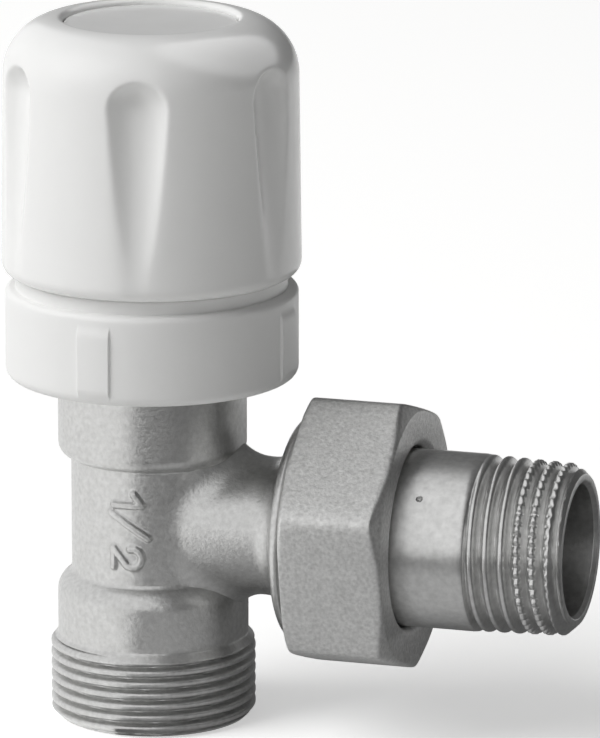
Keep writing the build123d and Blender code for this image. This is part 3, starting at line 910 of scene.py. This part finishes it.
@dataclass(frozen=True)
class UnionNut:
    """The hexagon nut that draws the tail into the branch."""

    across_flats: float = 30.0
    roll: float = 18.5
    bore: float = 13.3
    hole: float = 10.6
    shoulder: float = 2.1
    face_radius: float = 14.9
    back_inset: float = 1.3
    chamfer_slope: float = 0.42
    softness: float = 0.7

    @property
    def flat_turn(self) -> float:
        """Direction of the middle of one flat, in radians."""
        return math.radians(210.0 - self.roll)

    def relief(self, along: Array, radius: Array, angle: Array) -> Array:
        """Six flats."""
        flats = polygon_radius(angle, self.across_flats / 2.0, 6, self.flat_turn, self.softness)
        outside = radius > self.bore + 0.9
        return np.where(outside, soft_min(radius, flats, self.softness), radius)

    def build(self) -> bpy.types.Object:
        """Cut and dress the nut.

        Returns:
            The finished piece.
        """
        low, high = node_box("union_nut")
        start, end = low[0], high[0]
        corner = self.across_flats / 2.0 / math.cos(math.pi / 6.0)
        back_rise = self.back_inset * self.chamfer_slope
        face_rise = (corner - self.face_radius) * self.chamfer_slope
        corners = [
            Corner(start, self.bore, 0.3),
            Corner(start, corner - self.back_inset, 0.12, 0.08),
            Corner(start + back_rise, corner + 0.1, 0.3, 0.5),
            Corner(end - face_rise, corner + 0.1, 0.3, 0.06),
            Corner(end, self.face_radius, 0.3),
            Corner(end, self.hole, 1.0),
            Corner(end - self.shoulder, self.hole, 0.1),
            Corner(end - self.shoulder, self.bore, 0.2),
        ]
        sector = np.sin(np.linspace(-0.5, 0.5, 29)[:-1] * math.pi) * math.pi / 6.0
        angles = np.concatenate([sector + self.flat_turn + side * TURN / 6.0 for side in range(6)])
        rings = section_rings(half_section(corners), angles, Line.OUTLET, self.relief)
        nut = skin("hexagon_nut", rings, True)
        shade(nut, 50.0)
        return place_piece(nut, TUMBLED_NICKEL.material(), "nut", "union_nut")


@dataclass(frozen=True)
class UnionTail:
    """The tailpiece: nose, flange, plain barrel and the notched taper thread for the radiator."""

    nose_radius: float = 9.1
    nose_bore: float = 6.3
    nose_bore_depth: float = 6.1
    groove_radius: float = 7.6
    groove_start: float = 23.95
    groove_end: float = 25.95
    flange_radius: float = 12.2
    flange_start: float = 27.8
    flange_end: float = 29.9
    barrel_radius: float = 10.3
    thread_start: float = 40.35
    thread_crest: float = 10.25
    thread_taper: float = 0.3
    pitch: float = 1.814
    end_chamfer: float = 1.3
    bore: float = 7.64
    bore_depth: float = 17.7
    key_flats: float = 12.0
    notch_count: int = 48
    notch_depth: float = 0.36
    notch_sharpness: float = 1.5
    notched_from: float = 45.6
    pit: Dent = Dent(34.65, 139.0, 0.42, 0.4)
    pit_room: float = 0.7
    pit_room_angle: float = 4.0

    def relief(self, along: Array, radius: Array, angle: Array) -> Array:
        """Thread with notched crests outside, hexagon for the key inside."""
        end = node_box("tailpiece")[1][0]
        thread = PipeThread(
            self.thread_start, end + 0.5, self.thread_crest, self.pitch, self.thread_taper, fade=0.5
        )
        shaped = thread.cut(along, radius, angle)
        ripple = (0.5 + 0.5 * np.cos(self.notch_count * angle)) ** self.notch_sharpness
        notched = soft_step(self.notched_from, self.notched_from + 0.8, along)
        notched = notched * soft_step(end - self.end_chamfer + 0.2, end - self.end_chamfer - 0.6, along)
        high = soft_step(self.thread_crest - 0.75, self.thread_crest - 0.3, shaped)
        shaped = shaped - self.notch_depth * ripple * notched * high
        corner = self.key_flats / 2.0 / math.cos(math.pi / 6.0)
        key = polygon_radius(angle, self.key_flats / 2.0, 6, 0.0, 0.1)
        inside = (radius < corner + 0.02) & (radius > self.key_flats / 2.0 + 0.5)
        inside &= along > self.groove_end
        on_barrel = (along > self.flange_end) & (along < self.thread_start) & (radius > self.bore + 1.0)
        shaped = shaped - np.where(on_barrel, self.pit.cut(along, radius, angle), 0.0)
        return np.where(inside, key, shaped)

    def build(self) -> bpy.types.Object:
        """Turn, thread and dress the tail.

        Returns:
            The finished piece.
        """
        low, high = node_box("tailpiece")
        start, end = low[0], high[0]
        corner = self.key_flats / 2.0 / math.cos(math.pi / 6.0)
        key_start = start + self.nose_bore_depth
        key_end = end - self.bore_depth
        last_crest = self.thread_crest - self.thread_taper
        corners = [
            Corner(start, self.nose_bore, 0.2),
            Corner(start, self.nose_radius, 0.4),
            Corner(self.groove_start, self.nose_radius, 0.15),
            Corner(self.groove_start, self.groove_radius, 0.15),
            Corner(self.groove_end, self.groove_radius, 0.15),
            Corner(self.groove_end, self.nose_radius, 0.15),
            Corner(self.flange_start, self.nose_radius, 0.1),
            Corner(self.flange_start, self.flange_radius, 0.2),
            Corner(self.flange_end, self.flange_radius, 0.2),
            Corner(self.flange_end, self.barrel_radius, 0.1, 0.6),
            Corner(self.pit.along - self.pit_room, self.barrel_radius, 0.0, 0.07),
            Corner(self.pit.along + self.pit_room, self.barrel_radius, 0.0, 0.6),
            Corner(self.thread_start, self.barrel_radius, 0.0, 0.1),
            Corner(end - self.end_chamfer, last_crest + 0.05, 0.1, 0.09),
            Corner(end, last_crest - 1.15, 0.12, 0.5),
            Corner(end, self.bore + 0.35, 0.15),
            Corner(end - 0.5, self.bore, 0.1),
            Corner(key_end, self.bore, 0.15),
            Corner(key_end, corner, 0.0),
            Corner(key_start, corner, 0.0),
            Corner(key_start, self.nose_bore, 0.1),
        ]
        near_pit = self.pit.direction - self.pit_room_angle, self.pit.direction + self.pit_room_angle
        angles = closer_angles(336, (*near_pit, 17))
        rings = section_rings(half_section(corners), angles, Line.OUTLET, self.relief)
        tail = skin("threaded_tail", rings, True)
        shade(tail, 45.0)
        return place_piece(tail, TURNED_NICKEL.material(), "tail", "tailpiece")


@dataclass(frozen=True)
class CollarRing:
    """The plain white ring under the hand wheel, with four low grip pads."""

    radius: float = 17.05
    foot_round: float = 1.2
    top: float = 51.4
    edge_round: float = 0.75
    lip_top: float = 53.05
    lip_radius: float = 15.8
    sleeve_radius: float = 13.77
    sleeve_bore: float = 12.57
    shelf_top: float = 45.6
    shelf_bottom: float = 44.0
    shelf_bore: float = 9.25
    web: float = 1.6
    skirt_bore: float = 15.45
    pad_direction: float = -95.0
    pad_count: int = 4
    pad_width: float = 3.95
    pad_height: float = 0.34
    pad_foot: float = 42.1
    pad_top: float = 49.8
    pad_softness: float = 0.22

    def relief(self, along: Array, radius: Array, angle: Array) -> Array:
        """Grip pads on the skirt."""
        outside = radius > self.lip_radius + 0.5
        upright = soft_step(self.pad_foot - 0.5, self.pad_foot + 0.4, along)
        upright = upright * soft_step(self.pad_top + 0.3, self.pad_top - 0.9, along)
        pads = np.zeros_like(angle)
        for count in range(self.pad_count):
            off = turned_by(angle, math.radians(self.pad_direction) + count * TURN / self.pad_count)
            across = np.where(np.abs(off) < 0.5, np.abs(np.sin(off)) * self.radius, 9.0)
            half = self.pad_width / 2.0
            pads = pads + soft_step(half + self.pad_softness / 2.0, half - self.pad_softness / 2.0, across)
        return radius + np.where(outside, self.pad_height * upright * pads, 0.0)

    def build(self) -> bpy.types.Object:
        """Mould and dress the collar.

        Returns:
            The finished piece.
        """
        low, high = node_box("collar_ring")
        bottom, sleeve_top = low[2], high[2]
        corners = [
            Corner(bottom, self.skirt_bore, 0.3),
            Corner(bottom, self.radius, self.foot_round, 0.4),
            Corner(self.top, self.radius, self.edge_round),
            Corner(self.top, self.lip_radius, 0.15),
            Corner(self.lip_top, self.lip_radius, 0.3),
            Corner(self.lip_top, self.sleeve_radius, 0.2),
            Corner(sleeve_top, self.sleeve_radius, 0.3),
            Corner(sleeve_top, self.sleeve_bore, 0.3),
            Corner(self.shelf_top, self.sleeve_bore, 0.2),
            Corner(self.shelf_top, self.shelf_bore, 0.1),
            Corner(self.shelf_bottom, self.shelf_bore, 0.1),
            Corner(self.shelf_bottom, self.sleeve_radius, 0.2),
            Corner(self.lip_top - self.web, self.sleeve_radius, 0.3),
            Corner(self.lip_top - self.web, self.skirt_bore, 0.3),
        ]
        spans = []
        for count in range(self.pad_count):
            middle = self.pad_direction + count * 360.0 / self.pad_count
            reach = math.degrees(math.asin(self.pad_width / 2.0 / self.radius))
            spans += [(middle + side * reach - 0.5, middle + side * reach + 0.5, 9) for side in (-1, 1)]
        angles = closer_angles(240, *spans)
        rings = section_rings(half_section(corners), angles, Line.SPINDLE, self.relief)
        collar = skin("moulded_collar", rings, True)
        shade(collar, 40.0)
        return place_piece(collar, SATIN_ABS.material(), "valve", "collar_ring")


@dataclass(frozen=True)
class HandWheel:
    """The moulded hand wheel with six tapering flutes, its hub on ribs, and the snap-in cap."""

    foot_radius: float = 17.42
    foot_inset: float = 0.97
    foot_round: float = 1.65
    top_radius: float = 17.05
    shoulder_round: float = 7.02
    rim_radius: float = 10.55
    rim_bevel: float = 0.4
    pocket_radius: float = 10.15
    pocket_depth: float = 4.0
    recess_radius: float = 4.6
    recess_depth: float = 6.2
    web: float = 2.0
    screw_hole: float = 2.05
    square: float = 5.7
    hub_radius: float = 6.5
    hub_bottom: float = 61.0
    ceiling_drop: float = 6.2
    wall_radius: float = 13.85
    skirt_radius: float = 14.95
    skirt_depth: float = 6.8
    rib_thickness: float = 1.2
    rib_drop: float = 12.0
    flute_count: int = 6
    flute_direction: float = -77.0
    flute_round: float = 4.06
    flute_foot: float = 1.8
    flute_head: float = 7.7
    flute_depth: float = 2.0
    flute_softness: float = 0.3
    cap_rise: float = 0.4
    cap_dish: float = 0.12
    cap_rim: float = 1.2
    cap_clearance: float = 0.1
    cap_wall: float = 1.4

    def relief(self, along: Array, radius: Array, angle: Array) -> Array:
        """Flutes in the side, and the square for the spindle in the hub."""
        low, high = node_box("handwheel")
        foot, head = low[2] + self.flute_foot, high[2] - self.flute_head
        climb = (along - foot) / (head - foot)
        head_place = self.top_radius + self.flute_round - self.flute_depth
        foot_place = self.foot_radius + self.flute_round
        rod = foot_place + (head_place - foot_place) * np.minimum(climb, 1.0)
        left = self.flute_round**2 - np.maximum(along - head, 0.0) ** 2
        sector = TURN / self.flute_count
        off = turned_by(angle, math.radians(self.flute_direction))
        off = (off + sector / 2.0) % sector - sector / 2.0
        reach = left - (rod * np.sin(off)) ** 2
        clear = radius + self.flute_round
        hollow = np.where(reach > 0.0, rod * np.cos(off) - np.sqrt(np.maximum(reach, 0.0)), clear)
        outside = (radius > self.rim_radius) & (along > low[2] + 0.01)
        outside &= ~((radius < self.skirt_radius + 0.3) & (along < head - 2.0))
        shaped = np.where(outside, soft_min(radius, hollow, self.flute_softness), radius)
        corner = self.square / math.sqrt(2.0)
        key = polygon_radius(angle, self.square / 2.0, 4, 0.0, 0.1)
        return np.where(np.abs(radius - corner) < 0.01, key, shaped)

    def shell(self) -> bpy.types.Object:
        """The wheel's shell and hub, without its ribs."""
        low, high = node_box("handwheel")
        bottom, top = low[2], high[2]
        floor = top - self.pocket_depth
        seat = floor - self.recess_depth
        ceiling = top - self.ceiling_drop
        skirt_top = bottom + self.skirt_depth
        corner = self.square / math.sqrt(2.0)
        step = self.skirt_radius - self.wall_radius
        corners = [
            Corner(bottom, self.skirt_radius, 0.3),
            Corner(bottom, self.foot_radius - self.foot_inset, 0.25),
            Corner(bottom + 0.44, self.foot_radius, self.foot_round, 0.45),
            Corner(top - 0.48, self.top_radius, self.shoulder_round, 0.22),
            Corner(top, self.rim_radius, 0.7),
            Corner(top - self.rim_bevel, self.pocket_radius, 0.5),
            Corner(floor, self.pocket_radius, 0.2),
            Corner(floor, self.recess_radius, 0.2),
            Corner(seat, self.recess_radius, 0.1),
            Corner(seat, self.screw_hole, 0.1),
            Corner(seat - self.web, self.screw_hole),
            Corner(seat - self.web, corner),
            Corner(self.hub_bottom, corner),
            Corner(self.hub_bottom, self.hub_radius, 0.3),
            Corner(ceiling, self.hub_radius, 0.5),
            Corner(ceiling, self.wall_radius, 0.8),
            Corner(skirt_top + step, self.wall_radius, 0.2),
            Corner(skirt_top, self.skirt_radius, 0.2),
        ]
        rings = section_rings(half_section(corners), even_angles(372), Line.SPINDLE, self.relief)
        return skin("fluted_wheel", rings, True)

    def rib(self, direction: float) -> bpy.types.Object:
        """One rib from the hub to the shell, as a thin wall that reaches a little into both.

        Args:
            direction: the rib's direction in radians.

        Returns:
            The rib.
        """
        ceiling = node_box("handwheel")[1][2] - self.ceiling_drop
        bite = 0.5
        bottom, top = ceiling - self.rib_drop, ceiling + bite
        half = self.rib_thickness / 2.0
        inner, outer = self.hub_radius - bite, self.wall_radius + bite
        outline = np.array([(inner, -half), (outer, -half), (outer, half), (inner, half)])
        along = np.array([math.cos(direction), math.sin(direction)])
        side = np.array([-along[1], along[0]])
        flat = outline[:, :1] * along + outline[:, 1:] * side
        middle = flat.mean(axis=0)
        layers = ((bottom, 0.0), (bottom, 1.0), (top, 1.0), (top, 0.0))
        rings = [
            np.column_stack([middle + (flat - middle) * size, np.full(4, height)]) for height, size in layers
        ]
        return skin("rib", np.array(rings), False)

    def cap(self) -> bpy.types.Object:
        """The snap-in cap over the screw, which stands a little higher than its solid."""
        low, high = node_box("handwheel_cap")
        radius = self.pocket_radius - self.cap_clearance
        face = high[2] + self.cap_rise
        corners = [
            Corner(face - self.cap_dish, 0.0),
            Corner(face, radius - self.cap_rim, 0.5),
            Corner(face, radius, 0.25),
            Corner(low[2], radius, 0.2),
            Corner(low[2], radius - self.cap_wall, 0.2),
            Corner(high[2] - self.cap_wall, radius - self.cap_wall, 0.3),
            Corner(high[2] - self.cap_wall, 0.0),
        ]
        rings = section_rings(half_section(corners, False), even_angles(144), Line.SPINDLE)
        return skin("wheel_cap", rings, False)

    def build(self) -> list[bpy.types.Object]:
        """Mould and dress the wheel and its cap.

        Returns:
            The finished pieces.
        """
        wheel = self.shell()
        first = math.radians(self.flute_direction + 180.0 / self.flute_count)
        for count in range(self.flute_count):
            combine(wheel, self.rib(first + count * TURN / self.flute_count), Join.ADD)
        shade(wheel, 40.0)
        cap = self.cap()
        shade(cap, 40.0)
        plastic = GLOSS_ABS.material()
        return [
            place_piece(wheel, plastic, "wheel", "handwheel"),
            place_piece(cap, plastic, "wheel", "handwheel_cap"),
        ]


@dataclass(frozen=True)
class InnerWorks:
    """The headwork, disc, seals and fasteners inside, which keep their CAD shapes."""

    crease: float = 30.0

    def build(self) -> None:
        """Dress the inner nodes in their own finishes."""
        brass, steel = TURNED_BRASS.material(), ZINC_STEEL.material()
        rubber, fibre = EPDM_RUBBER.material(), FIBRE_SHEET.material()
        round_seals = ("tail_seal", "wiper_ring", "stem_seal_lower", "stem_seal_upper")
        dressed = [
            (brass, "turned_brass", ("bonnet", "spindle", "disc_holder", "disc_washer")),
            (steel, "plain_steel", ("disc_screw", "disc_clip", "screw_washer", "handwheel_screw")),
            (rubber, "seal_rubber", (*round_seals, "disc_gasket")),
            (fibre, "fibre_seal", ("bonnet_seal",)),
        ]
        for finish, slot, nodes in dressed:
            for name in nodes:
                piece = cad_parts[name]
                piece.data.materials.clear()
                piece.data.materials.append(finish)
                shade(piece, self.crease)
                LOG.info("%s keeps its CAD shape", name)


@dataclass(frozen=True)
class Studio:
    """A pale floor in a white tent with a dark right half, a dark card, two lamps and the camera."""

    azimuth: float = 17.19
    elevation: float = 13.90
    distance: float = 900.0
    aim_right: float = 17.178
    aim_height: float = 41.288
    focal_pixels: float = 7740.0
    picture_height: float = 738.0
    sensor: float = 36.0
    floor_reach: float = 4000.0
    floor_colour: str = "#F4F4F3"
    floor_lift: float = 0.45
    tent_level: float = 1.0
    tent_light: float = 0.27
    flag_distance: float = 2500.0
    flag_turn: float = -12.7
    flag_tilt: float = 6.0
    flag_edge_level: float = 0.18
    flag_middle_level: float = 0.07
    card_reach: float = 500.0
    card_back_reach: float = 165.0
    card_turn: float = 23.0
    card_sweep: float = 216.0
    card_front_sweep: float = 130.0
    card_level: float = 0.12
    # A painted pool of light: the card glows brighter round this place by the tail, and the metal mirrors
    # it.
    light_pool_level: float = 0.5
    light_pool_place: tuple[float, float, float] = (33.0, -35.0, 0.0)
    light_pool_reach: float = 46.0
    light_pool_core: float = 0.4
    lamp_distance: float = 2000.0
    key_left: float = 70.0
    key_up: float = 45.0
    key_size: float = 1500.0
    key_power: float = 31.0
    sheen_left: float = -108.0
    sheen_up: float = 50.0
    sheen_size: float = 3600.0
    sheen_power: float = 95.0

    def direction(self, left: float, up: float) -> Vector:
        """A direction from the valve, in degrees left of the camera and above the floor."""
        polar = math.radians(self.azimuth - 90.0 - left)
        rise = math.radians(up)
        return Vector((math.cos(polar) * math.cos(rise), math.sin(polar) * math.cos(rise), math.sin(rise)))

    def camera(self) -> bpy.types.Object:
        """The camera at the photograph's viewing angle."""
        turn = math.radians(self.azimuth)
        target = Vector((math.cos(turn) * self.aim_right, math.sin(turn) * self.aim_right, self.aim_height))
        back = self.direction(0.0, self.elevation)
        lens = bpy.data.cameras.new("camera")
        lens.sensor_width = self.sensor
        lens.lens = self.focal_pixels / self.picture_height * self.sensor
        lens.clip_start, lens.clip_end = 0.01, 50.0
        camera = bpy.data.objects.new("camera", lens)
        bpy.context.scene.collection.objects.link(camera)
        camera.location = (target + back * self.distance) * MM
        camera.rotation_mode = "QUATERNION"
        camera.rotation_quaternion = (-back).to_track_quat("-Z", "Y")
        bpy.context.scene.camera = camera
        return camera

    def stage_mesh(
        self, name: str, outline: Sequence[Vector], material: bpy.types.Material
    ) -> bpy.types.Object:
        """One flat panel of the studio.

        Args:
            name: the panel's name.
            outline: its corners in millimetres.
            material: its material.

        Returns:
            The panel.
        """
        mesh = bpy.data.meshes.new(name)
        mesh.from_pydata([tuple(corner * MM) for corner in outline], [], [tuple(range(len(outline)))])
        mesh.materials.append(material)
        panel = bpy.data.objects.new(name, mesh)
        bpy.context.scene.collection.objects.link(panel)
        return panel

    def seen_level(self, tree: bpy.types.NodeTree, lighting: float, seen: float) -> bpy.types.NodeSocket:
        """A brightness for what is seen, directly, mirrored or through glass, apart from what gives light.

        Args:
            tree: the node tree.
            lighting: brightness that lights the valve.
            seen: brightness that the camera and the reflections see.

        Returns:
            The brightness.
        """
        path = add_node(tree, "ShaderNodeLightPath").outputs
        rays = path["Is Camera Ray"]
        for kind in ("Is Glossy Ray", "Is Transmission Ray"):
            either = add_node(tree, "ShaderNodeMath", {0: rays, 1: path[kind]}, operation="MAXIMUM")
            rays = either.outputs[0]
        return add_node(
            tree, "ShaderNodeMapRange", {"Value": rays, "To Min": lighting, "To Max": seen}
        ).outputs[0]

    def floor(self) -> bpy.types.Object:
        """The pale floor: what sees it directly or mirrored sees it near white, with the shadow kept."""
        material, tree = new_material("pale_studio_floor")
        surface = add_node(
            tree,
            "ShaderNodeBsdfPrincipled",
            {
                "Base Color": to_linear(self.floor_colour),
                "Roughness": 0.9,
                "Specular IOR Level": 0.0,
                "Emission Color": WHITE,
                "Emission Strength": self.seen_level(tree, 0.0, self.floor_lift),
            },
        )
        add_node(tree, "ShaderNodeOutputMaterial", {"Surface": surface.outputs[0]})
        reach = self.floor_reach
        corners = [Vector((x * reach, y * reach, 0.0)) for x, y in ((-1, -1), (1, -1), (1, 1), (-1, 1))]
        return self.stage_mesh("floor", corners, material)

    def side_flag(self) -> bpy.types.Object:
        """The dark half of the tent, on the camera's right, which the camera doesn't see."""
        material, tree = new_material("dark_tent_cloth")
        place = add_node(tree, "ShaderNodeTexCoord").outputs["Object"]
        height = add_node(tree, "ShaderNodeSeparateXYZ", {0: place})
        level = add_node(
            tree,
            "ShaderNodeMapRange",
            {
                "Value": height.outputs["Z"],
                "From Min": 0.0,
                "From Max": self.flag_distance * MM,
                "To Min": self.flag_edge_level,
                "To Max": self.flag_middle_level,
            },
        )
        glow = add_node(tree, "ShaderNodeEmission", {"Color": WHITE, "Strength": level.outputs[0]})
        add_node(tree, "ShaderNodeOutputMaterial", {"Surface": glow.outputs[0]})
        bends = np.radians(np.linspace(0.0, 88.0, 16))[:, None]
        angles = even_angles(48)[None]
        across = np.sin(bends) * np.cos(angles)
        rise = np.broadcast_to(np.cos(bends), across.shape)
        rings = np.stack([across, np.sin(bends) * np.sin(angles), rise], axis=-1)
        flag = skin("dark_tent", rings * self.flag_distance, False)
        pole = self.direction(self.flag_turn - 90.0, self.flag_tilt)
        flag.rotation_mode = "QUATERNION"
        flag.rotation_quaternion = pole.to_track_quat("Z", "Y")
        flag.data.materials.append(material)
        flag.visible_camera = False
        return flag

    def floor_card(self) -> bpy.types.Object:
        """A dark card on the floor, seen only in reflections, with a painted pool of light by the tail."""
        material, tree = new_material("dark_card")
        place = add_node(tree, "ShaderNodeTexCoord").outputs["Object"]
        # The painted pool of light: the card's glow rises from its dark level to a brighter one near this
        # place.
        middle = tuple(Vector(self.light_pool_place) * MM)
        away = add_node(tree, "ShaderNodeVectorMath", {0: place, 1: middle}, operation="DISTANCE")
        level = add_node(
            tree,
            "ShaderNodeMapRange",
            {
                "Value": away.outputs["Value"],
                "From Min": self.light_pool_core * self.light_pool_reach * MM,
                "From Max": self.light_pool_reach * MM,
                "To Min": self.light_pool_level,
                "To Max": self.card_level,
            },
            interpolation_type="SMOOTHSTEP",
        )
        glow = add_node(tree, "ShaderNodeEmission", {"Color": WHITE, "Strength": level.outputs[0]})
        add_node(tree, "ShaderNodeOutputMaterial", {"Surface": glow.outputs[0]})
        outline = [Vector((0.0, 0.0, 0.05))]
        for bend in np.linspace(0.0, self.card_sweep, 19):
            reach = self.card_reach if bend < self.card_front_sweep else self.card_back_reach
            outline.append(self.direction(self.card_turn - float(bend), 0.0) * reach + outline[0])
        card = self.stage_mesh("dark_card", outline, material)
        card.visible_camera = False
        card.visible_diffuse = False
        card.visible_shadow = False
        return card

    def lamp(self, name: str, way: Vector, size: float, power: float) -> bpy.types.Object:
        """A square soft lamp that points at the valve.

        Args:
            name: the lamp's name.
            way: its direction from the valve.
            size: its side.
            power: its power in watts.

        Returns:
            The lamp.
        """
        light = bpy.data.lights.new(name, "AREA")
        light.size = size * MM
        light.energy = power
        lamp = bpy.data.objects.new(name, light)
        bpy.context.scene.collection.objects.link(lamp)
        lamp.location = way * self.lamp_distance * MM
        lamp.rotation_mode = "QUATERNION"
        lamp.rotation_quaternion = (-way).to_track_quat("-Z", "Y")
        return lamp

    def lamps(self) -> None:
        """A key lamp on the left that the metal doesn't mirror, and a soft box for the plastic's sheen."""
        key_way = self.direction(self.key_left, self.key_up)
        key = self.lamp("key_lamp", key_way, self.key_size, self.key_power)
        key.visible_glossy = False
        sheen_way = self.direction(self.sheen_left, self.sheen_up)
        sheen = self.lamp("sheen_box", sheen_way, self.sheen_size, self.sheen_power)
        sheen.visible_diffuse = False
        plastic = bpy.data.collections.new("plastic_pieces")
        for name in ("fluted_wheel", "wheel_cap"):
            plastic.objects.link(bpy.data.objects[name])
        sheen.light_linking.receiver_collection = plastic

    def build(self) -> None:
        """Set up the view settings, the tent, the floor, the dark card, the lamps and the camera."""
        scene = bpy.context.scene
        scene.view_settings.view_transform = "Standard"
        world = bpy.data.worlds.new("white_tent")
        world.use_nodes = True
        world.node_tree.nodes.clear()
        level = self.seen_level(world.node_tree, self.tent_light, self.tent_level)
        tent = add_node(world.node_tree, "ShaderNodeBackground", {"Color": WHITE, "Strength": level})
        add_node(world.node_tree, "ShaderNodeOutputWorld", {"Surface": tent.outputs[0]})
        scene.world = world
        self.floor()
        self.side_flag()
        self.floor_card()
        self.lamps()
        self.camera()


def main() -> None:
    """Build every sub-assembly in order and set up the studio."""
    logging.basicConfig(level=logging.INFO, format="%(name)s: %(message)s")
    for part in (ForgedBody(), UnionNut(), UnionTail(), CollarRing(), HandWheel(), InnerWorks(), Studio()):
        part.build()


if __name__ == "__main__":
    main()
